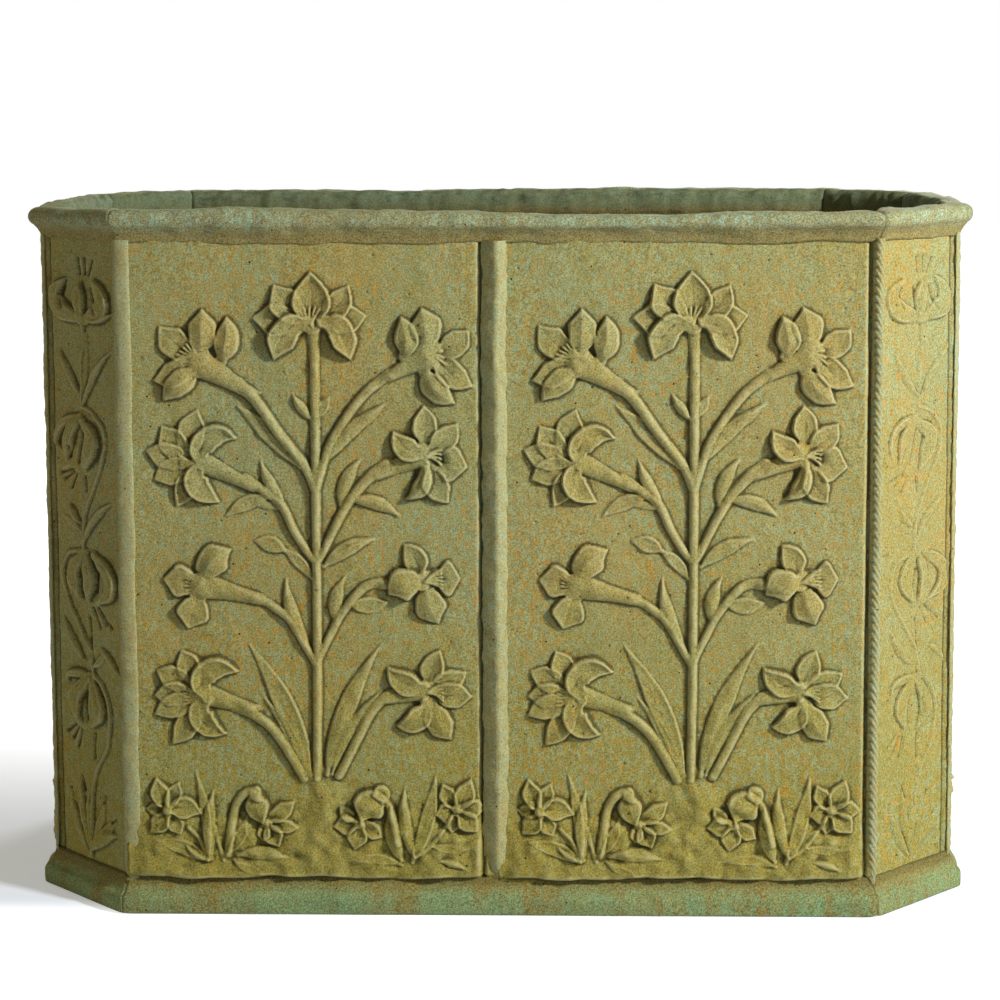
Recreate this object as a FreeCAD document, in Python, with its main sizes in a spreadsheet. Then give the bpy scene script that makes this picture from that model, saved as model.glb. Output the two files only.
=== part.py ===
import FreeCAD
import Part
import Sketcher
import math
import os
import re

# Eight-sided clay planter, slab built: floor, wall panels, beads over the joints, a plinth round the
# foot, a rolled rim and flower reliefs. +Z is up, the front faces -Y, the origin is on the ground
# under the middle of the planter.

doc = FreeCAD.newDocument("planter")

# Driving dimensions, in millimetres
DIMENSIONS = [
    ("tank_width", "800", "outer wall face to outer wall face, left to right"),
    ("tank_depth", "408", "outer wall face to outer wall face, front to back"),
    ("corner_cut", "78", "leg of the 45 degree cut at each corner"),
    ("wall_thick", "16", "thickness of the wall panels"),
    ("wall_top", "584", "height of the panel tops above the ground"),
    ("floor_thick", "22", "thickness of the floor slab"),
    ("drain_bore", "26", "diameter of a drain hole"),
    ("drain_spacing", "190", "from one drain hole to the next"),
    ("rim_overhang", "12", "how far the rim stands out past the wall"),
    ("rim_height", "28", "height of the rim above the panel tops"),
    ("rim_flare", "14", "height of the sloping underside of the rim"),
    ("rim_round", "11", "radius of the rim's two upper edges"),
    ("plinth_proud", "11", "how far the plinth stands out past the wall"),
    ("plinth_height", "33", "height of the plinth at the wall"),
    ("plinth_swell", "15", "height of the plinth's rounded top"),
    ("plinth_lip", "2", "level ledge of the plinth along the wall"),
    ("plinth_round", "5", "radius under the plinth's outer edge"),
    ("bead_width", "13", "width of a corner bead at its seat"),
    ("bead_proud", "6", "how far a corner bead stands off its seat"),
    ("mullion_width", "21", "width of the mullion over a panel joint"),
    ("mullion_proud", "8", "how far the mullion stands off the wall"),
    ("relief_margin", "12", "bare border beside a relief"),
    ("relief_headroom", "26", "bare wall above a relief"),
    ("petal_reach", "46", "length of a full lily petal"),
    ("petal_crown", "8", "height of a lily petal's ridge off the wall"),
    ("stem_width", "9", "width of a stem"),
    ("stem_crown", "5", "height of a stem off the wall"),
    ("leaf_width", "13", "width of a leaf"),
    ("leaf_crown", "4", "height of a leaf's ridge off the wall"),
    ("mound_height", "17", "height of the ground under the small flowers"),
    ("mound_crown", "5", "how far that ground stands off the wall"),
]

sizes = doc.addObject("Spreadsheet::Sheet", "sizes")
for row, (alias, value, meaning) in enumerate(DIMENSIONS, start=1):
    sizes.set(f"A{row}", meaning)
    sizes.set(f"B{row}", value)
    sizes.setAlias(f"B{row}", alias)
doc.recompute()

# Lengths worked out from the driving dimensions. Two walls meet at 135 degrees, so every mitre
# leans by 22.5 degrees.
HALF_TURN = 22.5
MITRE = f"tan({HALF_TURN} deg)"
FRONT_LENGTH = "(tank_width - 2*corner_cut)"
END_LENGTH = "(tank_depth - 2*corner_cut)"
CUT_LENGTH = "(corner_cut*sqrt(2))"
WALL_HEIGHT = "(wall_top - floor_thick)"
BEAD_REACH = f"(bead_width/2/cos({HALF_TURN} deg))"
SEAT_ALONG = f"(bead_width/2*{MITRE}*sin({HALF_TURN} deg))"
SEAT_DEEP = f"(bead_width/2*sin({HALF_TURN} deg))"

# The eight sides in turn: name, turn in degrees, left corner as seen from outside, length
SIDES = [
    ("front", 0, "corner_cut - tank_width/2", "-tank_depth/2", FRONT_LENGTH),
    ("front_right_corner", 45, "tank_width/2 - corner_cut", "-tank_depth/2", CUT_LENGTH),
    ("right", 90, "tank_width/2", "corner_cut - tank_depth/2", END_LENGTH),
    ("back_right_corner", 135, "tank_width/2", "tank_depth/2 - corner_cut", CUT_LENGTH),
    ("back", 180, "tank_width/2 - corner_cut", "tank_depth/2", FRONT_LENGTH),
    ("back_left_corner", 225, "corner_cut - tank_width/2", "tank_depth/2", CUT_LENGTH),
    ("left", 270, "-tank_width/2", "tank_depth/2 - corner_cut", END_LENGTH),
    ("front_left_corner", 315, "-tank_width/2", "corner_cut - tank_depth/2", CUT_LENGTH),
]

# The bead at the left corner of each side
BEADS = ["front_left_bead", "front_right_bead", "right_front_bead", "right_back_bead",
         "back_right_bead", "back_left_bead", "left_back_bead", "left_front_bead"]

# Drain holes stand in a row along the middle of the floor
DRAIN_COUNT = 3
FIRST_DRAIN = f"(tank_width/2 - {DRAIN_COUNT - 1}/2*drain_spacing)"

subparts = []


def bound(text):
    return re.sub(r"\b([a-z]+_[a-z]+)\b", r"sizes.\1", text)


def number(text):
    return float(sizes.evalExpression(bound(text)))


def keep(thing, label):
    thing.Label = label
    subparts.append(thing)
    return thing


# Sketch and feature helpers

def outline_sketch(body, name, role, *outlines):
    # An outline is a list of corners (x, y), run anticlockwise. A corner with three more entries
    # (radius, centre x, centre y) starts an arc to the next corner.
    sketch = body.newObject("Sketcher::SketchObject", name)
    plane = next(item for item in body.Origin.OriginFeatures if item.Role == role)
    sketch.AttachmentSupport = (plane, [""])
    sketch.MapMode = "FlatFace"
    for corners in outlines:
        add_outline(sketch, corners)
    return sketch


def add_outline(sketch, corners):
    first = sketch.GeometryCount
    count = len(corners)
    spots = [FreeCAD.Vector(number(corner[0]), number(corner[1]), 0) for corner in corners]
    for index, corner in enumerate(corners):
        start, end = spots[index], spots[(index + 1) % count]
        if len(corner) == 2:
            sketch.addGeometry(Part.LineSegment(start, end))
        else:
            centre = FreeCAD.Vector(number(corner[3]), number(corner[4]), 0)
            sketch.addGeometry(arc_between(start, end, centre))
    for index, corner in enumerate(corners):
        line = first + index
        following = first + (index + 1) % count
        sketch.addConstraint(Sketcher.Constraint("Coincident", line, 2, following, 1))
        bind_coordinate(sketch, "DistanceX", -2, line, corner[0])
        bind_coordinate(sketch, "DistanceY", -1, line, corner[1])
        if len(corner) > 2:
            bind(sketch, Sketcher.Constraint("Radius", line, number(corner[2])), corner[2])


def arc_between(start, end, centre):
    circle = Part.Circle(centre, FreeCAD.Vector(0, 0, 1), (start - centre).Length)
    first = math.atan2(start.y - centre.y, start.x - centre.x)
    last = math.atan2(end.y - centre.y, end.x - centre.x)
    if last <= first:
        last += 2 * math.pi
    return Part.ArcOfCircle(circle, first, last)


def bind_coordinate(sketch, kind, axis, line, text):
    if text == "0":
        sketch.addConstraint(Sketcher.Constraint("PointOnObject", line, 1, axis))
    else:
        bind(sketch, Sketcher.Constraint(kind, -1, 1, line, 1, number(text)), text)


def bind(sketch, constraint, text):
    place = sketch.addConstraint(constraint)
    sketch.setExpression(f"Constraints[{place}]", bound(text))


def pad(body, name, sketch, length):
    feature = body.newObject("PartDesign::Pad", name)
    feature.Profile = sketch
    feature.setExpression("Length", bound(length))
    return feature


def pocket_upward(body, name, sketch):
    feature = body.newObject("PartDesign::Pocket", name)
    feature.Profile = sketch
    feature.Type = "ThroughAll"
    feature.Reversed = True
    return feature


def new_body(label):
    return doc.addObject("PartDesign::Body", label)


def place(thing, turn, x, y, z):
    thing.Placement = FreeCAD.Placement(FreeCAD.Vector(), FreeCAD.Rotation(FreeCAD.Vector(0, 0, 1), turn))
    for axis, text in zip("xyz", (x, y, z)):
        thing.setExpression(f"Placement.Base.{axis}", bound(text))


def shifted(turn, x, y, along, inward):
    # A point moved along a side that runs at the given turn, and inward from it
    return (f"{x} + {along}*cos({turn} deg) - {inward}*sin({turn} deg)",
            f"{y} + {along}*sin({turn} deg) + {inward}*cos({turn} deg)")


# Floor slab with its drain holes

def floor_slab():
    body = new_body("floor_slab")
    far_x = "tank_width - corner_cut"
    far_y = "tank_depth - corner_cut"
    plan = outline_sketch(body, "floor_plan", "XY_Plane", [
        ("corner_cut", "0"), (far_x, "0"), ("tank_width", "corner_cut"), ("tank_width", far_y),
        (far_x, "tank_depth"), ("corner_cut", "tank_depth"), ("0", far_y), ("0", "corner_cut")])
    pad(body, "floor_pad", plan, "floor_thick")

    drain = outline_sketch(body, "drain_plan", "XY_Plane")
    bore = drain.addGeometry(Part.Circle(
        FreeCAD.Vector(number(FIRST_DRAIN), number("tank_depth/2"), 0),
        FreeCAD.Vector(0, 0, 1), number("drain_bore/2")))
    bind(drain, Sketcher.Constraint("Diameter", bore, number("drain_bore")), "drain_bore")
    for kind, text in (("DistanceX", FIRST_DRAIN), ("DistanceY", "tank_depth/2")):
        bind(drain, Sketcher.Constraint(kind, -1, 1, bore, 3, number(text)), text)
    hole = pocket_upward(body, "drain_hole", drain)
    doc.recompute()

    row_of_holes = body.newObject("PartDesign::LinearPattern", "drain_holes")
    row_of_holes.Originals = [hole]
    row_of_holes.Direction = (drain, ["H_Axis"])
    row_of_holes.Occurrences = DRAIN_COUNT
    row_of_holes.setExpression("Length", bound(f"{DRAIN_COUNT - 1}*drain_spacing"))
    body.Tip = row_of_holes
    place(body, 0, "-tank_width/2", "-tank_depth/2", "0")
    keep(body, "floor_slab")


# Wall panels: mitred at the corners, with the sharp outer arris cut back to a flat seat for the bead

def wall_panel(label, turn, x, y, length, left_mitre=True, right_mitre=True):
    body = new_body(label)
    left = [(f"wall_thick*{MITRE}", "wall_thick"), (SEAT_ALONG, SEAT_DEEP), (BEAD_REACH, "0")]
    right = [(f"{length} - {BEAD_REACH}", "0"), (f"{length} - {SEAT_ALONG}", SEAT_DEEP),
             (f"{length} - wall_thick*{MITRE}", "wall_thick")]
    if not left_mitre:
        left = [("0", "wall_thick"), ("0", "0")]
    if not right_mitre:
        right = [(length, "0"), (length, "wall_thick")]
    plan = outline_sketch(body, f"{label}_plan", "XY_Plane", right + left)
    pad(body, f"{label}_pad", plan, WALL_HEIGHT)
    place(body, turn, x, y, "floor_thick")
    keep(body, label)


def wall_panels():
    for name, turn, x, y, length in SIDES:
        if length == FRONT_LENGTH:
            half = f"{length}/2"
            middle = shifted(turn, x, y, half, "0")
            first, second = ("left", "right") if name == "front" else ("right", "left")
            wall_panel(f"{name}_{first}_panel", turn, x, y, half, right_mitre=False)
            wall_panel(f"{name}_{second}_panel", turn, *middle, half, left_mitre=False)
        elif length == END_LENGTH:
            wall_panel(f"{name}_end_panel", turn, x, y, length)
        else:
            wall_panel(f"{name}_panel", turn, x, y, length)


# Strips that run round the planter: a section along the side, mitred at both ends. The section's
# first coordinate is measured inward from the strip's outermost line.

def mitred_strip(label, turn, x, y, z, length, section, proud, breadth):
    body = new_body(label)
    overall = f"({length} + 2*{proud}*{MITRE})"
    profile = outline_sketch(body, f"{label}_section", "YZ_Plane", section)
    pad(body, f"{label}_pad", profile, overall)
    ends = outline_sketch(
        body, f"{label}_mitres", "XY_Plane",
        [("0", "0"), (f"{breadth}*{MITRE}", breadth), ("0", breadth)],
        [(overall, "0"), (overall, breadth), (f"{overall} - {breadth}*{MITRE}", breadth)])
    pocket_upward(body, f"{label}_mitre_cut", ends)
    corner = shifted(turn, x, y, f"(-{proud}*{MITRE})", f"(-{proud})")
    place(body, turn, *corner, z)
    return keep(body, label)


def plinth_strips():
    ledge = "(plinth_proud - plinth_lip)"
    swell_radius = f"(({ledge}^2 + plinth_swell^2)/(2*{ledge}))"
    swell_foot = "(plinth_height - plinth_swell)"
    section = [
        ("plinth_round", "0"),
        ("plinth_proud", "0"),
        ("plinth_proud", "plinth_height"),
        (ledge, "plinth_height", swell_radius, swell_radius, swell_foot),
        ("0", swell_foot),
        ("0", "plinth_round", "plinth_round", "plinth_round", "plinth_round")]
    return [mitred_strip(f"{name}_plinth", turn, x, y, "0", length, section, "plinth_proud", "plinth_proud")
            for name, turn, x, y, length in SIDES]


def rim_lengths():
    breadth = "(rim_overhang + wall_thick)"
    radius = "min(rim_round; 0.8*(rim_height - rim_flare))"     # leaves a fifth of the rim's side flat
    shoulder = f"rim_height - {radius}"
    section = [
        ("rim_overhang", "0"),
        (breadth, "0"),
        (breadth, shoulder, radius, f"{breadth} - {radius}", shoulder),
        (f"{breadth} - {radius}", "rim_height"),
        (radius, "rim_height", radius, radius, shoulder),
        ("0", shoulder),
        ("0", "rim_flare")]
    return [mitred_strip(f"{name}_rim", turn, x, y, "wall_top", length, section, "rim_overhang", breadth)
            for name, turn, x, y, length in SIDES]


# Beads and mullions: rounded clay strips on a flat back, scribed to the plinth and the rim

def round_strip(label, turn, x, y, width, proud, neighbours):
    blank = new_body(f"{label}_blank")
    radius = f"(({width}^2/4 + {proud}^2)/(2*{proud}))"
    section = outline_sketch(blank, f"{label}_section", "XY_Plane", [
        (width, proud), ("0", proud, radius, f"{width}/2", radius)])
    pad(blank, f"{label}_pad", section, f"({WALL_HEIGHT} + rim_flare)")
    corner = shifted(turn, x, y, f"(-{width}/2)", f"(-{proud})")
    place(blank, turn, *corner, "floor_thick")

    around = doc.addObject("Part::Compound", f"{label}_neighbours")
    around.Links = neighbours
    strip = doc.addObject("Part::Cut", label)
    strip.Base = blank
    strip.Tool = around
    keep(strip, label)


def beads_and_mullions(plinths, rims):
    for index, (name, turn, x, y, length) in enumerate(SIDES):
        lean = turn - HALF_TURN
        seat = shifted(lean, x, y, "0", f"(bead_width/2*{MITRE})")
        beside = [strips[side] for strips in (plinths, rims) for side in (index - 1, index)]
        round_strip(BEADS[index], lean, *seat, "bead_width", "bead_proud", beside)
        if length == FRONT_LENGTH:
            middle = shifted(turn, x, y, f"{length}/2", "0")
            beside = [plinths[index], rims[index]]
            round_strip(f"{name}_mullion", turn, *middle, "mullion_width", "mullion_proud", beside)


# Reliefs: faceted petals, leaves and stems pressed on the wall, drawn across (x), up (y) and out of
# the wall (z), from the middle of the plinth's top

# Shares that shape every flower and leaf
PETAL_BREADTH = 0.413   # width of a petal against its length
PETAL_BELLY = 0.58      # place of a petal's widest point along it
LEAF_BELLY = 0.55       # place of a leaf's widest point along it
LEAF_HEEL = 0.6         # height of a leaf's foot against its ridge
SHORT_PETAL = 0.9       # every second petal against its neighbour
HEART_RING = 0.45       # radius of a flower's heart against a petal's width
HEART_RISE = 1.1        # height of a flower's heart against a petal's ridge
BRANCH_GIRTH = 0.8      # a branch against the main stem


def faceted_solid(facets):
    faces = [Part.Face(Part.makePolygon(list(corners) + [corners[0]])) for corners in facets]
    solid = Part.makeSolid(Part.makeShell(faces))
    return solid if solid.Volume > 0 else solid.reversed()


def flat(across, up, out=0.0):
    return FreeCAD.Vector(across, up, out)


def ridged_blade(base, tip, width, crown, bow=0.0):
    # A leaf: pointed at both ends, widest at the belly, with a ridge down its middle. A bow moves the
    # belly to the left of the line from base to tip.
    run = tip - base
    across = flat(-run.y, run.x).normalize()
    belly = base + run * LEAF_BELLY + across * bow
    left = belly + across * (width / 2)
    right = belly - across * (width / 2)
    heel = base + flat(0, 0, crown * LEAF_HEEL)
    ridge = belly + flat(0, 0, crown)
    return faceted_solid([
        (base, left, tip, right), (base, heel, left), (heel, ridge, left), (ridge, tip, left),
        (base, right, heel), (heel, right, ridge), (ridge, right, tip)])


def tapered_run(start, end, start_width, end_width, crown_share):
    # A roof-shaped length whose height keeps step with its width
    across = flat(-(end - start).y, (end - start).x).normalize()
    sections = []
    for spot, width in ((start, start_width), (end, end_width)):
        sections.append((spot + across * (width / 2), spot - across * (width / 2),
                         spot + flat(0, 0, width * crown_share)))
    (left, right, top), (far_left, far_right, far_top) = sections
    return faceted_solid([
        (left, far_left, far_right, right), (left, right, top), (far_left, far_top, far_right),
        (left, top, far_top, far_left), (right, far_right, far_top, top)])


def stem_along(path, width, crown):
    # A roof-shaped stem along a bent line, mitred at each bend
    sections = []
    for index, spot in enumerate(path):
        before = (spot - path[index - 1]).normalize() if index else None
        after = (path[index + 1] - spot).normalize() if index + 1 < len(path) else None
        before, after = before or after, after or before
        across = flat(-(before + after).y, (before + after).x).normalize()
        half = width / 2 / math.sqrt((1 + before.dot(after)) / 2)
        sections.append((spot + across * half, spot - across * half, spot + flat(0, 0, crown)))
    first, last = sections[0], sections[-1]
    facets = [(first[0], first[1], first[2]), (last[0], last[2], last[1])]
    for (left, right, top), (far_left, far_right, far_top) in zip(sections, sections[1:]):
        facets += [(left, far_left, far_right, right), (left, top, far_top, far_left),
                   (right, far_right, far_top, top)]
    return faceted_solid(facets)


def curve(start, control, end, steps):
    shares = [step / steps for step in range(steps + 1)]
    return [start * (1 - t) ** 2 + control * (2 * t * (1 - t)) + end * t ** 2 for t in shares]


def heading(turn):
    return flat(math.cos(math.radians(turn)), math.sin(math.radians(turn)))


def flower_head(throat, first, sides, lengths, width, crown):
    # A pointed heart on a ring of facets, with a petal of each length on the first facets: narrow at
    # the heart, widest at its belly, pointed at the tip, ridged down its middle
    step = 360 / sides
    ring = [throat + heading(first + (side - 0.5) * step) * (HEART_RING * width) for side in range(sides)]
    heart = throat + flat(0, 0, HEART_RISE * crown)
    facets = []
    outline = []
    for side in range(sides):
        near, far = ring[side], ring[(side + 1) % sides]
        outline.append(near)
        if side >= len(lengths):
            facets.append((heart, near, far))
            continue
        along = heading(first + side * step)
        tip = throat + along * lengths[side]
        belly = throat + along * (PETAL_BELLY * lengths[side])
        right = belly + flat(along.y, -along.x) * (width / 2)
        left = belly + flat(-along.y, along.x) * (width / 2)
        ridge = belly + flat(0, 0, crown)
        outline += [right, tip, left]
        facets += [(heart, near, ridge), (near, right, ridge), (right, tip, ridge),
                   (tip, left, ridge), (left, far, ridge), (far, heart, ridge)]
    return faceted_solid(facets + [outline[::-1]])


class Drawing:
    # A relief's drawing, scaled to its field. Places stretch to the field's width and height, and
    # petals, leaves and stems keep their own shape.
    def __init__(self, across_scale, up_scale):
        self.across_scale = across_scale
        self.up_scale = up_scale
        self.form_scale = min(across_scale, up_scale)
        self.solids = []

    def spot(self, place_drawn):
        return flat(place_drawn[0] * self.across_scale, place_drawn[1] * self.up_scale)

    def form(self, text):
        return number(text) * self.form_scale

    def petals(self, throat, facing, count, sides, reach):
        # Petals fan out either side of the way the flower faces, every second one a little shorter
        full = self.form("petal_reach") * reach
        lengths = [full * (SHORT_PETAL if index % 2 else 1.0) for index in range(count)]
        first = facing - (count - 1) / 2 * 360 / sides
        self.solids.append(flower_head(throat, first, sides, lengths, full * PETAL_BREADTH,
                                       self.form("petal_crown") * reach))

    def bloom(self, throat_drawn, neck_drawn, count, sides, reach):
        throat, neck = self.spot(throat_drawn), self.spot(neck_drawn)
        facing = math.degrees(math.atan2((throat - neck).y, (throat - neck).x))
        crown_share = number("stem_crown/stem_width")
        mouth = self.form("petal_reach") * PETAL_BREADTH * reach
        self.solids.append(tapered_run(neck, throat, self.form("stem_width"), mouth, crown_share))
        self.petals(throat, facing, count, sides, reach)

    def branch(self, throat_drawn, neck_drawn, joint_drawn, swing, steps=3):
        throat, neck, joint = (self.spot(place) for place in (throat_drawn, neck_drawn, joint_drawn))
        control = neck + (neck - throat).normalize() * (swing * self.form_scale)
        path = curve(neck, control, joint, steps)
        self.solids.append(stem_along(path, self.form("stem_width") * BRANCH_GIRTH,
                                      self.form("stem_crown") * BRANCH_GIRTH))

    def stem(self, places):
        path = [self.spot(place) for place in places]
        self.solids.append(stem_along(path, self.form("stem_width"), self.form("stem_crown")))

    def leaf(self, base_drawn, tip_drawn, bow, breadth=1.0):
        self.solids.append(ridged_blade(
            self.spot(base_drawn), self.spot(tip_drawn), self.form("leaf_width") * breadth,
            self.form("leaf_crown"), bow * self.form_scale))

    def bank(self, crest):
        # A low bank of ground along the plinth: its crest is a list of places across and shares of
        # the full height
        height = self.form("mound_height")
        edge = [flat(across * self.across_scale, share * height) for across, share in crest]
        face = Part.Face(Part.makePolygon(edge + [edge[0]]))
        self.solids.append(face.extrude(flat(0, 0, self.form("mound_crown"))))

    def shape(self):
        return self.solids[0].multiFuse(self.solids[1:]).removeSplitter()


# The lily as drawn for a field 280 wide and 525 high: throat, neck, joint on the stem, count of
# petals, facets round the heart, share of the full reach
LILY_FIELD = (280.0, 525.0)
LILY_SWING = 30
LILY_STEM = [(-2, 62), (2, 200), (-1, 320), (0, 440)]
LILY_TOP = ((0, 480), (0, 432), 7, 8, 1.0)
LILY_BLOOMS = [
    ((-89, 453), (-46, 410), (0, 345), 5, 8, 1.0),
    ((90, 450), (44, 413), (0, 345), 5, 8, 1.0),
    ((-90, 365), (-40, 350), (0, 275), 6, 7, 1.0),
    ((95, 366), (41, 342), (0, 275), 6, 7, 1.0),
    ((-91, 257), (-36, 246), (0, 196), 5, 6, 0.85),
    ((99, 259), (36, 243), (0, 196), 5, 6, 0.85),
    ((-99, 163), (-41, 142), (0, 92), 6, 7, 0.95),
    ((102, 164), (48, 148), (0, 92), 6, 7, 0.95),
]
# Leaves: base, tip, bow, share of the full width
LILY_LEAVES = [
    ((0, 400), (-17, 424), 2, 0.7), ((0, 400), (17, 423), -2, 0.7),
    ((-22, 380), (-66, 415), -4, 1.1), ((19, 382), (65, 416), 4, 1.1),
    ((-26, 341), (-45, 372), 2, 0.9), ((-24, 338), (-76, 316), -3, 1.1),
    ((27, 333), (44, 371), -2, 0.9), ((26, 331), (75, 319), 3, 1.1),
    ((0, 284), (-52, 297), 3, 1.0), ((0, 280), (52, 300), -3, 1.0),
    ((-11, 228), (-24, 268), 3, 1.0), ((12, 227), (28, 267), -3, 1.0),
    ((-6, 108), (-59, 210), -8, 1.3), ((8, 108), (60, 211), 8, 1.3),
    ((-4, 100), (-40, 168), -4, 0.8), ((6, 100), (58, 168), 6, 0.8),
]

# Bell flowers show three petals of a heart with eight facets. Open flowers have five all round.
BELL_PETALS, BELL_FACETS = 3, 8
STAR_PETALS, STAR_FACING = 5, 90

# The ground row, in the lily's field: open flowers, nodding flowers (throat, neck, foot), blades of
# grass, stalks and the crest of the bank that they grow on (place across, share of its height)
GROUND_REACH, GROUND_SWING, GROUND_BREADTH = 0.54, 26, 0.7
GROUND_STARS = [(-124, 64), (124, 64)]
GROUND_NODDING = [((-40, 58), (-50, 86), (-86, 8)), ((44, 54), (54, 82), (76, 8))]
GROUND_LEAVES = [
    ((-90, 8), (-112, 96), 3), ((-88, 8), (-90, 82), -2), ((-94, 8), (-128, 42), 4),
    ((-84, 8), (-54, 34), -3), ((76, 8), (80, 80), 2), ((78, 8), (106, 98), -3),
    ((82, 8), (122, 38), -4), ((72, 8), (44, 30), 3),
]
GROUND_STALKS = [((-92, 8), (-124, 60)), ((82, 8), (122, 60))]
GROUND_CREST = [(-138, 0), (-116, 0.7), (-84, 1), (0, 0.5), (76, 1), (116, 0.7), (138, 0)]

# The corner vine as drawn for a field 73 wide and 525 high
VINE_FIELD = (73.0, 525.0)
VINE_REACH, VINE_SWING = 0.6, 22
VINE_STEM = [(0, 16), (6, 90), (-5, 180), (6, 290), (-4, 390), (0, 460)]
VINE_TOP = ((0, 490), (0, 454), 5, 6, 0.58)
VINE_BELLS = [
    ((-16, 350), (-16, 384), (-2, 400)),
    ((17, 238), (17, 272), (5, 280)),
    ((-16, 126), (-16, 160), (-4, 172)),
]
VINE_LEAVES = [
    ((-4, 406), (-24, 442), 3), ((-1, 410), (24, 444), -3), ((4, 300), (-20, 326), 3),
    ((2, 330), (26, 362), -3), ((-4, 190), (22, 214), -3), ((-2, 216), (-24, 246), 3),
    ((2, 34), (-26, 84), 4), ((2, 34), (28, 92), -4), ((0, 24), (-20, 44), 2), ((2, 24), (24, 50), -2),
]


def lily_relief(drawing):
    drawing.stem(LILY_STEM)
    drawing.bloom(*LILY_TOP)
    for throat, neck, joint, count, sides, reach in LILY_BLOOMS:
        drawing.branch(throat, neck, joint, LILY_SWING)
        drawing.bloom(throat, neck, count, sides, reach)
    for base, tip, bow, breadth in LILY_LEAVES:
        drawing.leaf(base, tip, bow, breadth)
    return drawing.shape()


def ground_relief(drawing):
    drawing.bank(GROUND_CREST)
    for centre in GROUND_STARS:
        drawing.petals(drawing.spot(centre), STAR_FACING, STAR_PETALS, STAR_PETALS, GROUND_REACH)
    for throat, neck, foot in GROUND_NODDING:
        drawing.branch(throat, neck, foot, GROUND_SWING)
        drawing.bloom(throat, neck, BELL_PETALS, BELL_FACETS, GROUND_REACH)
    for base, tip, bow in GROUND_LEAVES:
        drawing.leaf(base, tip, bow, GROUND_BREADTH)
    for foot, head in GROUND_STALKS:
        drawing.stem([foot, head])
    return drawing.shape()


def vine_relief(drawing):
    drawing.stem(VINE_STEM)
    drawing.bloom(*VINE_TOP)
    for throat, neck, joint in VINE_BELLS:
        drawing.branch(throat, neck, joint, VINE_SWING)
        drawing.bloom(throat, neck, BELL_PETALS, BELL_FACETS, VINE_REACH)
    for base, tip, bow in VINE_LEAVES:
        drawing.leaf(base, tip, bow)
    return drawing.shape()


def set_relief(label, shape, turn, x, y, along):
    relief = doc.addObject("Part::Feature", label)
    relief.Shape = shape
    upright = FreeCAD.Rotation(FreeCAD.Vector(1, 0, 0), 90)
    facing = FreeCAD.Rotation(FreeCAD.Vector(0, 0, 1), turn)
    x, y = shifted(turn, x, y, along, "0")
    base = FreeCAD.Vector(number(x), number(y), number("plinth_height"))
    relief.Placement = FreeCAD.Placement(base, facing.multiply(upright))
    keep(relief, label)


def reliefs():
    rise = number("wall_top - plinth_height - relief_headroom")
    half_front = f"({FRONT_LENGTH}/2 - {BEAD_REACH} - mullion_width/2)"
    front_width = number(f"{half_front} - 2*relief_margin")
    end_width = number(f"{END_LENGTH} - 2*{BEAD_REACH} - 2*relief_margin")
    cut_width = number(f"{CUT_LENGTH} - 2*{BEAD_REACH} - 2*relief_margin")

    shapes = {}
    for kind, width in (("broad", front_width), ("end", end_width)):
        scales = (width / LILY_FIELD[0], rise / LILY_FIELD[1])
        shapes[kind] = (lily_relief(Drawing(*scales)), ground_relief(Drawing(*scales)))
    vine = vine_relief(Drawing(cut_width / VINE_FIELD[0], rise / VINE_FIELD[1]))

    for name, turn, x, y, length in SIDES:
        if length == CUT_LENGTH:
            set_relief(f"{name}_vine", vine, turn, x, y, f"{length}/2")
            continue
        if length == END_LENGTH:
            fields = [(f"{name}_end", "end", f"{length}/2")]
        else:
            first, second = ("left", "right") if name == "front" else ("right", "left")
            fields = [(f"{name}_{first}", "broad", f"({BEAD_REACH} + {half_front}/2)"),
                      (f"{name}_{second}", "broad", f"({length} - {BEAD_REACH} - {half_front}/2)")]
        for label, kind, along in fields:
            lily, ground = shapes[kind]
            set_relief(f"{label}_lily", lily, turn, x, y, along)
            set_relief(f"{label}_ground", ground, turn, x, y, along)


floor_slab()
wall_panels()
plinths = plinth_strips()
rims = rim_lengths()
beads_and_mullions(plinths, rims)
reliefs()
doc.recompute()

# Every object has to be sound before anything is written
for thing in doc.Objects:
    if "Invalid" in thing.State or "Error" in thing.State:
        raise RuntimeError(f"{thing.Name} did not build: {thing.State}")
for part in subparts:
    if part.Shape.isNull() or not part.Shape.isValid():
        raise RuntimeError(f"{part.Label} has no sound shape")

os.makedirs("parts", exist_ok=True)
for part in subparts:
    part.Shape.exportStep(f"parts/{part.Label}.step")
print(f"{len(subparts)} pieces written")
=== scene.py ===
import math

import bpy
import numpy as np
from mathutils import Matrix, Vector


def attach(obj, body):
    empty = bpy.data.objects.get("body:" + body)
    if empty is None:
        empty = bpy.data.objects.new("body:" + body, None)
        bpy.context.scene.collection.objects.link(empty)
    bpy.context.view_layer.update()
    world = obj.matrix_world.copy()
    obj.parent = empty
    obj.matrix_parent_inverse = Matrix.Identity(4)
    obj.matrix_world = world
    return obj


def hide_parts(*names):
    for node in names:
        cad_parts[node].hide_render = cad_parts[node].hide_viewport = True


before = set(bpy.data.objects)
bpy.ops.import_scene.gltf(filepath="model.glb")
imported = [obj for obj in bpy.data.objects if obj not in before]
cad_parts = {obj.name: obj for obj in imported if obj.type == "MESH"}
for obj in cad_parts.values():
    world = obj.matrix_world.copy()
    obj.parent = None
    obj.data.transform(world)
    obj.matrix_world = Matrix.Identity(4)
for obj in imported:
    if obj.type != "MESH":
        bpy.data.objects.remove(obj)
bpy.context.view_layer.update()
scene = bpy.context.scene

# Sizes are in metres, apart from reliefs and sections, which are in millimetres
body = {"halfWidth": 0.400, "halfDepth": 0.204, "cut": 0.078, "wall": 0.016, "wallFoot": 0.022,
        "wallTop": 0.584, "mitre": math.tan(math.radians(22.5))}
upward = np.array([0, 0, 1.0])

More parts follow.
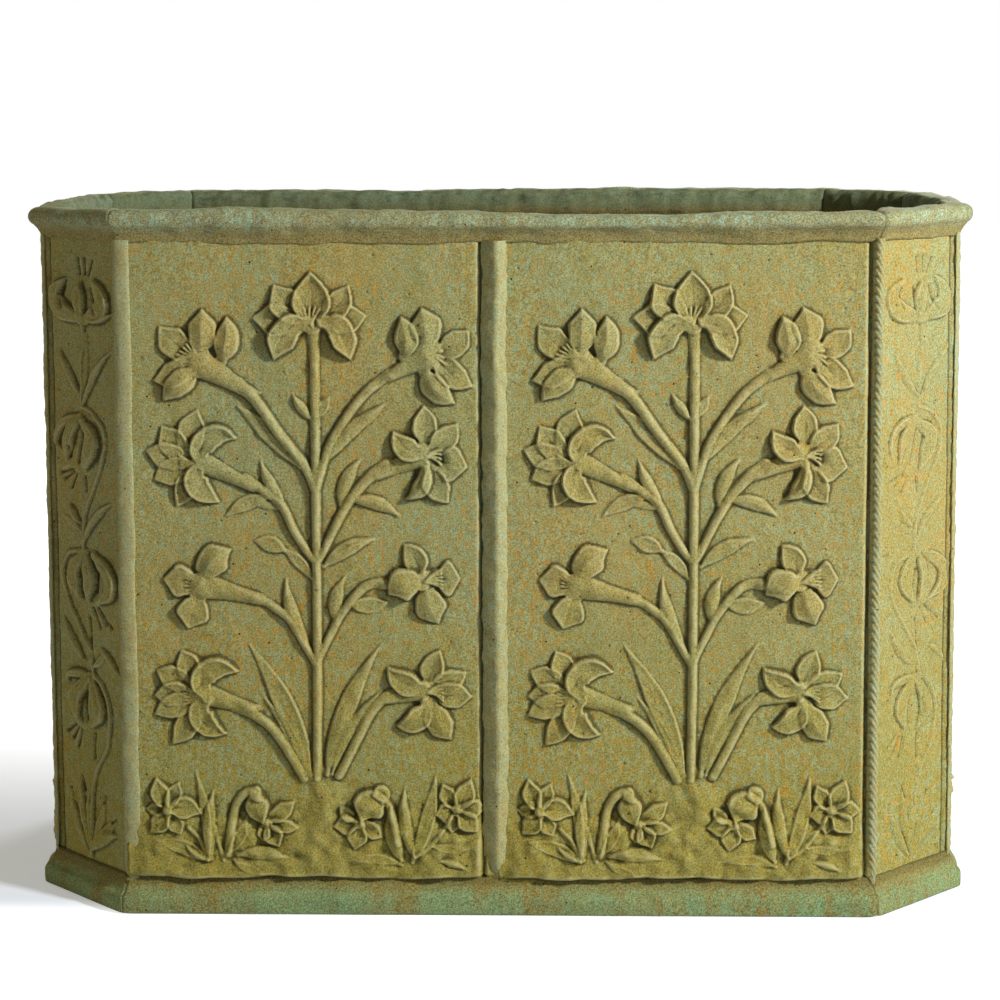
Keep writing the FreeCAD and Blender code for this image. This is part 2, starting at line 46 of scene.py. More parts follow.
# Each side has its turn about the planter's middle in degrees, its first corner and its length
halfWidth, halfDepth, cut = body["halfWidth"], body["halfDepth"], body["cut"]
frontLength, endLength, cutLength = 2 * (halfWidth - cut), 2 * (halfDepth - cut), cut * math.sqrt(2)
sides = {
    "front": (0, (cut - halfWidth, -halfDepth), frontLength),
    "front_right_corner": (45, (halfWidth - cut, -halfDepth), cutLength),
    "right": (90, (halfWidth, cut - halfDepth), endLength),
    "back_right_corner": (135, (halfWidth, halfDepth - cut), cutLength),
    "back": (180, (halfWidth - cut, halfDepth), frontLength),
    "back_left_corner": (225, (cut - halfWidth, halfDepth), cutLength),
    "left": (270, (-halfWidth, halfDepth - cut), endLength),
    "front_left_corner": (315, (-halfWidth, cut - halfDepth), cutLength),
}


def sideFrame(side):
    # The first corner of a side, and the directions along it and out of it
    turn, corner, length = sides[side]
    angle = math.radians(turn)
    along = np.array([math.cos(angle), math.sin(angle), 0.0])
    outward = np.array([math.sin(angle), -math.cos(angle), 0.0])
    return np.array([*corner, 0.0]), along, outward


hand = {"seed": 11, "waves": 24, "phases": 6.28, "pitch": 0.6, "gain": 1.2}
chance = np.random.default_rng(hand["seed"])
handWaves = [(chance.normal(size=3), chance.uniform(0, hand["phases"])) for wave in range(hand["waves"])]


def handWave(points, wavelength):
    # A smooth hand-made unevenness of about plus or minus one, the same wherever pieces meet
    total = np.zeros(len(points))
    for direction, phase in handWaves:
        total += np.sin(points @ direction * (2 * math.pi / wavelength) * hand["pitch"] + phase)
    return total / math.sqrt(len(handWaves)) * hand["gain"]


def makeMesh(name, points, quads, triangles):
    mesh = bpy.data.meshes.new(name)
    mesh.vertices.add(len(points))
    mesh.vertices.foreach_set("co", np.asarray(points, dtype=np.float32).ravel())
    mesh.loops.add(quads.size + triangles.size)
    mesh.loops.foreach_set("vertex_index", np.concatenate([quads.ravel(), triangles.ravel()]))
    mesh.polygons.add(len(quads) + len(triangles))
    starts = np.concatenate([np.arange(len(quads)) * 4, quads.size + np.arange(len(triangles)) * 3])
    mesh.polygons.foreach_set("loop_start", starts)
    mesh.update(calc_edges=True)
    mesh.validate()
    return mesh


def camelName(node):
    first, *others = node.split("_")
    return first + "".join(word.capitalize() for word in others)


def makePiece(mesh, material, nodes):
    # A piece is named after the first node that it replaces
    mesh.name = camelName(nodes[0])
    piece = bpy.data.objects.new(mesh.name, mesh)
    scene.collection.objects.link(piece)
    mesh.materials.append(material)
    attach(piece, "root")
    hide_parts(*nodes)


def modified(mesh, kind, settings, inputs):
    # A plain mesh made by one modifier, whose node inputs are set by their sockets' identifiers
    holder = bpy.data.objects.new("holder", mesh)
    scene.collection.objects.link(holder)
    modifier = holder.modifiers.new(kind.lower(), kind)
    for key, value in settings.items():
        setattr(modifier, key, value)
    for identifier, value in inputs.items():
        modifier[identifier] = value
    result = bpy.data.meshes.new_from_object(holder.evaluated_get(bpy.context.evaluated_depsgraph_get()))
    bpy.data.objects.remove(holder)
    bpy.data.meshes.remove(mesh)
    return result


def vertexSpots(mesh):
    spots = np.empty(len(mesh.vertices) * 3, dtype=np.float32)
    mesh.vertices.foreach_get("co", spots)
    return spots.reshape(-1, 3)


def setAttribute(mesh, name, values):
    layer = mesh.attributes.new(name, "FLOAT", "POINT")
    layer.data.foreach_set("value", np.asarray(values, dtype=np.float32))


def blurred(field, sigma):
    # Gaussian blur with mirrored borders, in cells
    pad = int(3 * sigma) + 2
    wide = np.pad(field, pad, mode="reflect")
    rows = np.fft.fftfreq(wide.shape[0])[:, None]
    cols = np.fft.rfftfreq(wide.shape[1])[None, :]
    gain = np.exp(-2 * (math.pi * sigma) ** 2 * (rows ** 2 + cols ** 2))
    smooth = np.fft.irfft2(np.fft.rfft2(wide) * gain, s=wide.shape)
    return smooth[pad:-pad, pad:-pad]


def eased(share):
    share = np.clip(share, 0, 1)
    return share * share * (3 - 2 * share)


class Relief:
    # A relief modelled as heights in millimetres over a wall, across and up in millimetres
    def __init__(self, across, up):
        self.across, self.up = across, up
        self.height = np.zeros((len(up), len(across)))

    def near(self, path, reach):
        # Share along the path and signed distance to it, in the window that the path can touch
        path = np.asarray(path, dtype=float)
        low, high = path.min(axis=0) - reach, path.max(axis=0) + reach
        cols = slice(*np.searchsorted(self.across, [low[0], high[0]]))
        rows = slice(*np.searchsorted(self.up, [low[1], high[1]]))
        across, up = self.across[cols][None, :], self.up[rows][:, None]
        nearest = np.full((up.size, across.size), 1e9)
        share, side = np.zeros_like(nearest), np.ones_like(nearest)
        steps = np.hypot(*np.diff(path, axis=0).T)
        done = 0.0
        for start, end, length in zip(path[:-1], path[1:], steps):
            run = (end - start) / length
            far = np.clip((across - start[0]) * run[0] + (up - start[1]) * run[1], 0, length)
            du, dv = across - start[0] - far * run[0], up - start[1] - far * run[1]
            distance = np.hypot(du, dv)
            closer = distance < nearest
            nearest = np.where(closer, distance, nearest)
            share = np.where(closer, (done + far) / steps.sum(), share)
            side = np.where(closer, np.sign(run[0] * dv - run[1] * du), side)
            done += length
        return (rows, cols), np.clip(share, 0, 1), nearest * side

    def lay(self, window, mask, shape, lift):
        # A form lies on what is below it, raised by a share of that
        below = self.height[window]
        self.height[window] = below + mask * (np.maximum(below, shape + lift * below) - below)

    def raised(self):
        # From zero on the wall to one where the relief stands 3 mm or more
        return np.clip(self.height / 3, 0, 1)


def spline(places, steps=6):
    # A smooth line through given places
    places = np.asarray(places, dtype=float)
    ends = np.concatenate([[2 * places[0] - places[1]], places, [2 * places[-1] - places[-2]]])
    t = np.linspace(0, 1, steps, endpoint=False)[:, None]
    runs = [0.5 * (2 * b + (c - a) * t + (2 * a - 5 * b + 4 * c - d) * t ** 2
                   + (3 * b - a - 3 * c + d) * t ** 3)
            for a, b, c, d in zip(ends, ends[1:], ends[2:], ends[3:])]
    return np.concatenate(runs + [places[-1:]])


def bow(base, tip, bend, steps=14):
    # A line from base to tip that bows to its left by the bend
    base, tip = np.asarray(base, dtype=float), np.asarray(tip, dtype=float)
    run = tip - base
    control = (base + tip) / 2 + np.array([-run[1], run[0]]) / max(np.hypot(*run), 1e-6) * bend * 2
    t = np.linspace(0, 1, steps)[:, None]
    return base * (1 - t) ** 2 + control * 2 * t * (1 - t) + tip * t ** 2


petalForm = {"reach": 1.4, "belly": 0.92, "root": 0.55, "rootFade": 1.2, "point": 2.5, "pointFade": 0.95,
             "waver": 0.05, "lean": 0.2, "ripple": 0.2, "lip": 0.8, "lipIn": 1.3, "lipHalf": 1.2, "vein": 0.9,
             "veinHalf": 1.2, "edge": 1.5}


def petal(relief, path, half, rise, cup, tipness=0.62, lift=0.3):
    # Pointed at the tip. A positive cup hollows it, a negative one raises a ridge along its middle.
    window, share, away = relief.near(path, half * petalForm["reach"] + 3)
    swelling = np.clip(np.sin(math.pi * share ** petalForm["belly"]), 0, 1)
    root = petalForm["root"] * (1 - share) ** petalForm["rootFade"]
    point = petalForm["point"] * (1 - share) ** petalForm["pointFade"]
    width = half * np.minimum(np.maximum(swelling ** tipness, root), point)
    width = width * (1 + petalForm["waver"] * np.sin(11 * share + half))
    inside = np.clip(np.abs(away) / np.maximum(width, 0.01), 0, 1)
    lean = np.sin(7 * half + 3 * rise) * inside * np.sign(away)
    shape = rise * (0.6 + 0.5 * np.sin(math.pi * 0.93 * share ** 0.8) + petalForm["lean"] * lean)
    shape = shape + petalForm["ripple"] * np.sin(away * 2.2) * swelling * (1 - inside)
    lip = np.exp(-((width - np.abs(away) - petalForm["lipIn"]) / petalForm["lipHalf"]) ** 2)
    shape = shape + petalForm["lip"] * (lip * eased(share * 3))
    if cup > 0:
        vein = np.exp(-(away / petalForm["veinHalf"]) ** 2) * eased(share * 4) * (1 - share)
        shape = shape - cup * (1 - inside ** 2) * np.sqrt(swelling) - petalForm["vein"] * vein
    else:
        shape = shape - cup * (1 - inside) * swelling
    relief.lay(window, eased((width - np.abs(away) + 0.3) / petalForm["edge"]), shape, lift)


def tube(relief, path, startHalf, endHalf, startCrown, endCrown=None, lift=0.15, fade=0.0):
    # A round stem, or with an end crown a throat that flares. The crown is its height for its half width.
    window, share, away = relief.near(path, max(startHalf, endHalf) + 3)
    width = startHalf + (endHalf - startHalf) * share ** (1 if endCrown is None else 1.9)
    crown = startCrown + ((startCrown if endCrown is None else endCrown) - startCrown) * eased(share * 1.6)
    crown = crown * (1 - fade * eased((share - 0.72) / 0.28))
    inside = np.clip(np.abs(away) / width, 0, 1)
    shape = crown * width * np.sqrt(np.clip(1 - inside ** 2, 0, 1))
    grown = 1 if endCrown is None else eased(share * 5)
    relief.lay(window, eased((width - np.abs(away) + 0.4) / 0.9) * grown, shape, lift)


leafForm = {"belly": 0.9, "breadth": 0.7, "root": 0.3, "point": 2.3, "fall": 0.3, "fold": 1.9, "border": 0.5,
            "dish": 1.7, "vein": 0.5, "edge": 1.3}


def leaf(relief, base, tip, half, bend, rise, lift=0.2):
    # A leaf bowed to its left is folded along its middle, one bowed to its right is hollow
    window, share, away = relief.near(bow(base, tip, bend), half + 3)
    swelling = np.clip(np.sin(math.pi * share ** leafForm["belly"]), 0, 1)
    breadth = np.maximum(swelling ** leafForm["breadth"], leafForm["root"] * (1 - share))
    width = half * np.minimum(breadth, leafForm["point"] * (1 - share))
    inside = np.clip(np.abs(away) / np.maximum(width, 0.01), 0, 1)
    shape = rise * (1 - leafForm["fall"] * share)
    if bend > 0:
        shape = shape + leafForm["fold"] * (1 - inside) * swelling
    else:
        shape = shape + (leafForm["border"] - leafForm["dish"] * (1 - inside ** 2)) * swelling
        shape = shape + leafForm["vein"] * np.exp(-(away / 1.0) ** 2) * swelling
    relief.lay(window, eased((width - np.abs(away) + 0.3) / leafForm["edge"]), shape, lift)


def groove(relief, path, half, depth):
    # A stroke cut into the clay, shallower at both ends
    window, share, away = relief.near(path, half * 2 + 3)
    relief.height[window] -= depth * np.exp(-(away / half) ** 2) * eased(share * 7) * eased((1 - share) * 7)


def stamens(relief, root, tips, half=1.1, rise=5.0):
    # A fan of threads from one root
    for tip in tips:
        window, share, away = relief.near(bow(root, tip, 1.0, 6), half + 3)
        shape = rise * (1 - 0.25 * share) * np.sqrt(np.clip(1 - (away / (half * 1.3)) ** 2, 0, 1))
        relief.lay(window, eased((half - np.abs(away) + 0.5) / 0.9), shape, 0.25)


def hollow(relief, place, radius, depth):
    # A soft round pit, or a pinhole where it is small
    window, share, away = relief.near([place, (place[0] + 0.01, place[1])], radius * 3)
    relief.height[window] = relief.height[window] - depth * np.exp(-(away / radius) ** 2)


# The drawing of a broad panel is set out on a sheet with its own units: the middle of the sheet, which leans
# from a pivot, a level with its height, and millimetres for one unit across and up
sheet = {"middle": 311, "lean": 0.0058, "pivot": 860, "level": 243, "levelHeight": 582, "across": 0.86,
         "up": 0.869}

# Main stem and branches: places from the joint to the flower, half widths at both ends
stemRows = [
    ([(316, 776), (317, 690), (317, 600), (316.5, 480), (316, 400), (316, 330)], 4.6, 5.0),
    ([(316, 486), (306, 462), (281, 430), (258, 398), (240, 380)], 4.6, 6.0),
    ([(317, 484), (329, 445), (345, 417), (365, 391), (390, 371)], 4.6, 5.0),
    ([(315, 556), (306, 545), (294, 525), (283, 502), (268, 489), (246, 474)], 4.0, 5.0),
    ([(318, 556), (322, 550), (338, 517), (353, 492), (370, 473), (388, 460)], 4.0, 6.0),
    ([(316, 660), (307, 645), (291, 617), (274, 603), (262, 596)], 4.0, 4.6),
    ([(317, 660), (322, 647), (332, 627), (342, 608), (364, 583), (388, 577)], 4.0, 5.0),
    ([(303, 776), (291, 754), (272, 726), (250, 710), (234, 704)], 5.0, 5.5),
    ([(338, 773), (346, 757), (359, 731), (371, 708), (386, 693), (398, 690)], 5.0, 5.5),
]
# Flared throats: neck, mouth, half widths
throatRows = [
    ((316, 372), (315, 322), 4.6, 7.5),
    ((262, 396), (204, 361), 6.0, 15.0),
    ((384, 377), (427, 352), 5.0, 17.0),
    ((262, 486), (202, 458), 5.5, 12.0),
    ((370, 474), (420, 452), 5.5, 12.5),
    ((268, 597), (203, 581), 6.0, 14.0),
    ((376, 580), (424, 578), 5.5, 13.0),
    ((262, 709), (206, 692), 5.5, 12.0),
    ((378, 697), (424, 687), 5.5, 12.0),
]
# Petals in the order they lie on each other: base, tip, half width, bend, rise, hollow
petalRows = [
    # top flower
    ((303, 320), (253.5, 316), 14, 0, 2.8, 0.8), ((328, 321), (368, 314), 12.5, 0, 2.4, 0.6),
    ((304, 319), (275, 283), 13.5, 2, 3.2, 1.0), ((326, 319), (350, 284), 11.5, -2, 3.0, 0.8),
    ((314, 323), (312, 271), 16.5, 0, 4.6, 2.6),
    # upper left
    ((197, 354), (161.5, 323.5), 13, 3, 2.2, 0.4), ((199, 356), (155, 377.5), 12, 4, 3.0, 0.4),
    ((204, 350), (204.6, 306.5), 12.5, -1, 3.0, -2.6), ((223, 358), (228.5, 314), 11, -4, 3.2, -3.2),
    ((200, 369), (165.5, 398), 11, -3, 3.2, -2.2),
    # upper right
    ((439, 350), (468, 328), 11.5, -3, 2.6, 0.3), ((438, 353), (473, 383.5), 11.5, -5, 3.0, 0.4),
    ((427, 345), (421, 306), 13.5, -2, 2.8, -2.4), ((405, 354), (400.5, 314.5), 10.5, -4, 3.4, -2.6),
    ((424, 368), (455, 400.5), 11, -4, 3.0, -2.2),
    # middle left
    ((190, 452), (200, 405.5), 12.5, 2, 2.4, 0.5), ((189, 456), (163, 422), 12.5, 1, 2.4, 0.5),
    ((190, 458), (147, 446), 12, 0, 2.4, 0.5), ((192, 461), (155, 476), 12, -1, 2.6, 0.5),
    ((194, 463), (177, 503), 10, 2, 2.4, 0.4),
    # middle right
    ((424, 440), (423.5, 402), 11, -1, 3.0, 0.8), ((430, 447), (457.5, 420), 11, -2, 2.8, 0.6),
    ((436, 457), (467, 463), 15, 0, 2.8, 0.4), ((430, 463), (448.5, 499), 11.5, -3, 3.2, 0.6),
    ((424, 450), (393, 427), 10, 6, 4.6, 1.4), ((425, 460), (405, 495), 7.5, 8, 4.4, -2.4),
    # lower left bell
    ((196, 578), (163, 575), 14, 0, 3.0, 0.6), ((198, 592), (187.5, 625), 14, 0, 3.2, 0.8),
    ((203, 574), (232, 545), 13.5, 5, 2.8, -2.2),
    # lower right bell
    ((420, 570), (403, 539.5), 10.5, -3, 2.8, 0.5), ((436, 574), (460, 574), 15, 0, 2.6, 0.3),
    ((426, 583), (438.5, 620), 13.5, -2, 3.0, -2.2), ((421, 577), (388, 590), 14, -4, 5.6, -0.5),
    # bottom left
    ((193, 678), (180, 646), 11, -1, 2.6, 0.5), ((190, 682), (154.5, 666.5), 11, 0, 2.6, 0.5),
    ((189, 690), (152, 692), 11.5, 0, 2.6, 0.5), ((192, 696), (152, 712), 11, -1, 2.8, 0.4),
    ((195, 700), (170, 742), 11, 3, 3.0, 0.5),
    # bottom right
    ((427, 680), (440, 645.5), 10.5, 1, 3.0, 0.8), ((430, 684), (466, 668), 11, -2, 2.6, 0.5),
    ((434, 690), (472, 693), 12, 0, 2.6, 0.4), ((430, 700), (451.5, 737), 12, -2, 2.6, -1.6),
    ((424, 683), (387, 662.5), 10.5, 6, 4.6, 1.4), ((426, 699), (395, 722), 10.5, 8, 4.6, 1.2),
]
# Petals that curl forward: places along the middle, half width, rise, hollow
curlRows = [
    ([(308, 322), (293, 325), (283, 338), (275, 358)], 14.0, 6.4, 1.8),
    ([(325, 319), (339, 325), (346, 339), (352, 358)], 13.0, 6.4, 1.2),
    ([(204, 460), (202, 447), (210, 435), (224, 431), (239, 435)], 12.0, 5.8, 1.9),
    ([(203, 461), (197, 471), (200, 483), (209, 491), (221, 498)], 11.5, 5.8, 1.7),
    ([(208, 693), (201, 680), (207, 668), (221, 664), (239, 668)], 12.0, 5.8, 1.9),
    ([(206, 695), (199, 706), (203, 719), (213, 727), (226, 731)], 12.0, 5.8, 1.7),
]
# Stamens: root and the first and last tip of the fan, count
stamenRows = [
    ((314, 324), (301, 307), (322, 306), 5), ((203, 354), (180, 352), (193, 338), 5),
    ((430, 352), (440, 342), (445, 362), 4), ((200, 458), (181, 451), (182, 464), 5),
    ((426, 452), (441, 446), (440, 460), 4), ((203, 579), (186, 569), (186, 590), 6),
    ((424, 577), (441, 565), (442, 584), 6), ((203, 691), (183, 681), (182, 701), 6),
    ((427, 688), (442, 681), (443, 697), 5),
]
# Leaves: base, tip, half width, bend
leafRows = [
    ((312, 416), (293, 389.5), 4.6, 1), ((316, 414), (331, 391.5), 5.0, -1),
    ((302, 463), (236, 401), 8.5, -3), ((326, 458), (389, 399), 6.5, 5), ((343, 430), (386, 402), 3.2, -3),
    ((285, 500), (261, 454), 5.5, 3), ((270, 493), (224, 514), 6.5, -4), ((281, 505), (255, 503), 3.6, -3),
    ((285, 546), (253, 536.5), 7.5, -2), ((312, 574), (280, 543), 5.5, -3),
    ((341, 501), (363, 453.5), 6.5, 5), ((352, 496), (401, 514), 6.5, 6), ((324, 562), (378, 534), 7.0, 5),
    ((309, 645), (286, 570), 6.5, 6), ((336, 618), (346, 570.5), 6.5, 5), ((350, 599), (390, 597), 7.5, -3),
    ((309, 772), (246, 637), 9.5, -7), ((305, 770), (260, 691), 5.0, -5),
    ((326, 772), (383, 637), 8.5, 8), ((331, 772), (384, 685), 5.5, 8),
]
# Hollows between petals: place, radius, depth
hollowRows = [
    ((314, 312), 7, 1.6), ((196, 374), 5, 1.8), ((203, 357), 4, 1.4), ((437, 455), 7, 5.5),
    ((417, 470), 5, 1.6),
    ((435, 690), 7, 5.5), ((416, 700), 5, 1.4), ((438, 353), 7, 2.8), ((433, 576), 8, 6.0),
    ((190, 580), 5, 1.6),
    ((188, 458), 5, 1.4), ((190, 691), 5, 1.4),
]

# The ground row, in the same order of values: stalks, flowers with all their petals, leaves and two pits
groundStems = [
    ([(207, 858), (198, 838), (186, 826)], 2.4, 2.4), ([(222, 858), (217, 842), (213, 824)], 2.6, 2.0),
    ([(226, 852), (229, 832), (232, 812), (238, 797), (248, 790), (258, 794)], 4.6, 4.8),
    ([(398, 840), (393, 818), (385, 799), (375, 790)], 4.0, 4.0),
    ([(412, 856), (432, 842), (452, 814)], 2.2, 2.2),
]
groundPetals = [
    ((163, 808), (142, 808), 6, 0, 2.2, 0.4), ((166, 806), (177, 780), 7, 0, 2.4, 0.6),
    ((168, 812), (179, 833), 7.5, 0, 3.0, 0.6), ((165, 811), (147.5, 831), 8.5, 1, 3.4, 0.6),
    ((165, 807), (153.5, 775), 8.5, 2, 3.6, 0.8), ((166, 806), (200, 812), 9.5, 3, 4.0, 0.6),
    ((264, 818), (294, 798), 7.5, -2, 3.0, 0.4), ((266, 820), (299, 825), 6.5, -1, 3.2, 0.6),
    ((264, 822), (261, 840), 6.5, 0, 3.4, 0.6), ((266, 822), (278, 845), 9, 0, 4.2, 0.8),
    ((254, 790), (262, 822), 10.5, -2, 4.6, -1.6),
    ((354, 817), (338.5, 803.5), 6, 1, 2.6, 0.4), ((357, 820), (332, 824), 8.5, 0, 3.4, 0.6),
    ((364, 820), (382, 835), 7, -1, 3.2, 0.6), ((359, 822), (354, 847), 9, 0, 4.0, 0.8),
    ((380, 792), (360, 818), 14.5, -2, 5.0, -1.8),
    ((455, 805), (441.5, 780.5), 7.5, 1, 3.0, 0.6), ((455, 812), (451, 831), 6.5, 0, 2.8, 0.4),
    ((454, 808), (435, 812.5), 8.5, 0, 3.4, 0.4), ((460, 806), (487, 807), 8, 1, 2.6, 0.4),
    ((457, 806), (471, 776), 9, -1, 3.6, 0.8), ((459, 810), (478, 829), 9.5, 0, 3.8, 0.6),
]
groundLeaves = [
    ((207, 857), (192, 767), 5.5, -4), ((210, 857), (212, 785), 6.5, 4), ((206, 858), (150, 838), 7.5, -3),
    ((206, 858), (182, 842), 3.4, 2), ((226, 852), (246, 812), 6.0, -3), ((236, 853), (291, 857), 6.5, 4),
    ((232, 858), (268, 874), 4.5, -2),
    ((401, 858), (391, 799), 8.0, 4), ((414, 854), (404.5, 782), 6.5, 5), ((412, 860), (435.5, 769), 7.5, -4),
    ((432, 843), (473, 846), 4.4, -2), ((402, 863), (342, 860), 5.0, -6), ((440, 858), (468, 868), 4.0, 2),
]
groundHollows = [((455.5, 810), 2.6, 4.5), ((160, 806), 2.4, 2.0)]

# The corner vine has a sheet of its own, which leans: bells hang from arched stalks, their stamens below
vineSheet = {"middle": 191, "lean": 0.023, "pivot": 600, "level": 25, "levelHeight": 582, "across": 0.44,
             "up": 0.209}
vineStems = [
    [(195, 350), (200, 430), (196, 560), (198, 715)],
    [(198, 715), (240, 748), (272, 820), (266, 930), (236, 1050), (206, 1180), (203, 1325)],
    [(203, 1325), (150, 1352), (134, 1430), (142, 1510), (193, 1655), (226, 1740), (238, 1843)],
    [(238, 1843), (278, 1903), (298, 2003), (288, 2143), (253, 2263), (243, 2383), (238, 2640)],
]
# Petals of the bells: places along the middle, half width, rise, hollow
vineBells = [
    ([(188, 350), (122, 312), (104, 245), (140, 180)], 9.0, 2.6, -1.0),
    ([(205, 350), (262, 300), (258, 235), (228, 175)], 9.0, 2.6, -1.0),
    ([(210, 345), (262, 335), (296, 318)], 4.5, 3.0, 0.6),
    ([(193, 352), (188, 270), (190, 190)], 7.5, 3.2, -1.2),
    ([(188, 752), (135, 795), (112, 870), (124, 925)], 4.0, 2.2, -0.8),
    ([(190, 765), (160, 830), (142, 960)], 6.5, 2.4, -1.2),
    ([(200, 785), (236, 850), (205, 992)], 8.5, 3.0, -1.4),
    ([(205, 1330), (176, 1430), (206, 1545)], 8.0, 2.6, -1.2),
    ([(240, 1335), (294, 1400), (298, 1480), (250, 1545)], 7.0, 2.8, -1.2),
    ([(215, 1330), (235, 1430), (222, 1548)], 6.0, 3.2, -1.2),
    ([(225, 1860), (182, 1965), (200, 2080)], 7.5, 2.6, -1.2),
    ([(236, 1870), (264, 1990), (236, 2084)], 8.0, 3.0, -1.2),
    ([(228, 1850), (160, 1870), (152, 1925)], 4.0, 2.2, -0.6),
]
vineLeaves = [
    ((190, 665), (113, 475), 4.5, 2), ((198, 670), (206, 372), 4.5, -2), ((202, 705), (302, 460), 4.0, 5),
    ((192, 1210), (150, 1125), 4.0, 2), ((190, 1245), (128, 1195), 3.4, -2),
    ((206, 1285), (308, 1095), 4.0, 6),
    ((210, 1795), (130, 1612), 4.5, 3), ((238, 1815), (280, 1722), 3.5, -2),
    ((262, 1730), (330, 1835), 3.5, 3),
    ((228, 2613), (156, 2360), 5.0, 3), ((235, 2603), (196, 2295), 5.0, 2),
    ((240, 2610), (330, 2512), 7.0, 5),
    ((243, 2583), (320, 2412), 5.5, -4), ((243, 2573), (280, 2352), 4.5, -3),
    ((238, 2590), (232, 2330), 4.0, 1),
]
# Strokes cut into the clay: stamens, the ribs of the bells, the eyes of the leaves
vineStrokes = [
    [(180, 176), (172, 88)], [(196, 176), (193, 86)], [(206, 176), (224, 94)],
    [(166, 205), (172, 265), (184, 330)], [(214, 205), (226, 270), (252, 335)],
    [(132, 205), (122, 262), (142, 318)],
    [(158, 880), (152, 945)], [(165, 985), (115, 1015)], [(168, 990), (128, 1042)], [(174, 995), (154, 1078)],
    [(200, 1000), (208, 1082)], [(196, 800), (186, 890), (178, 975)],
    [(210, 1383), (206, 1503)], [(252, 1383), (246, 1503)], [(228, 1550), (262, 1652)],
    [(240, 1550), (284, 1632)],
    [(245, 1548), (304, 1642)], [(218, 1583), (226, 1700), (232, 1790)],
    [(246, 1935), (250, 1990), (244, 2065)], [(214, 1910), (210, 1990), (216, 2070)],
    [(178, 2080), (143, 2133)],
    [(186, 2085), (163, 2163)], [(198, 2088), (183, 2193)], [(243, 2088), (240, 2150), (243, 2223)],
    [(196, 2296), (214, 2370)], [(158, 2362), (170, 2430)], [(282, 2350), (276, 2400)],
    [(300, 2470), (318, 2440)],
]

print("drawing ready")


# How the clay wears, and the spread and depth of the maps for its painted shade. Spreads are in cells of the
# relief, heights in millimetres.
wearAndShading = {"soften": 0.42, "spreads": (22, 4, 1.0), "swell": 0.35, "ripple": (0.17, 0.30), "grain": 0.09,
        "cellsPerHole": 2600, "holeRadius": (0.6, 1.0), "holeDepth": (1.0, 2.0), "clearFoot": 14,
        "clearTop": 8, "recessSpread": 4.5, "recessDepth": 2.4, "fineSpread": 1.6, "fineDepth": 0.8}


def finishRelief(relief, seed, keepOff, stain):
    # Soften the modelling, add the wall's own unevenness and pinholes, and map the recesses and fine hollows
    # for the painted shade, partly dirt, and the crests for a painted highlight
    chance = np.random.default_rng(seed)
    shape = relief.height.shape
    relief.height = blurred(relief.height, wearAndShading["soften"])
    swell, ripple, grain = [blurred(chance.normal(size=shape), spread) for spread in wearAndShading["spreads"]]
    worked = wearAndShading["ripple"][0] + wearAndShading["ripple"][1] * relief.raised()
    relief.height += (swell / swell.std() * wearAndShading["swell"] + ripple / ripple.std() * worked
                      + grain / grain.std() * wearAndShading["grain"])
    for hole in range(int(shape[0] * shape[1] / wearAndShading["cellsPerHole"])):
        place = (chance.uniform(relief.across[0] + keepOff, relief.across[-1] - keepOff),
                 chance.uniform(relief.up[0] + wearAndShading["clearFoot"], relief.up[-1] - wearAndShading["clearTop"]))
        hollow(relief, place, chance.uniform(*wearAndShading["holeRadius"]), chance.uniform(*wearAndShading["holeDepth"]))
    # Painted shade around the forms and in the wider recesses, partly dirt, and painted shade in the fine
    # hollows
    recessShadeAndDirt = (blurred(relief.height, wearAndShading["recessSpread"]) - relief.height) / wearAndShading["recessDepth"] * stain
    fine = (blurred(relief.height, wearAndShading["fineSpread"]) - relief.height) / wearAndShading["fineDepth"]
    return np.clip(recessShadeAndDirt, -1, 1), np.clip(fine, -1, 1)


def nearestCell(far, cells):
    return np.clip(np.rint((far - cells[0]) / (cells[1] - cells[0])), 0, len(cells) - 1).astype(int)


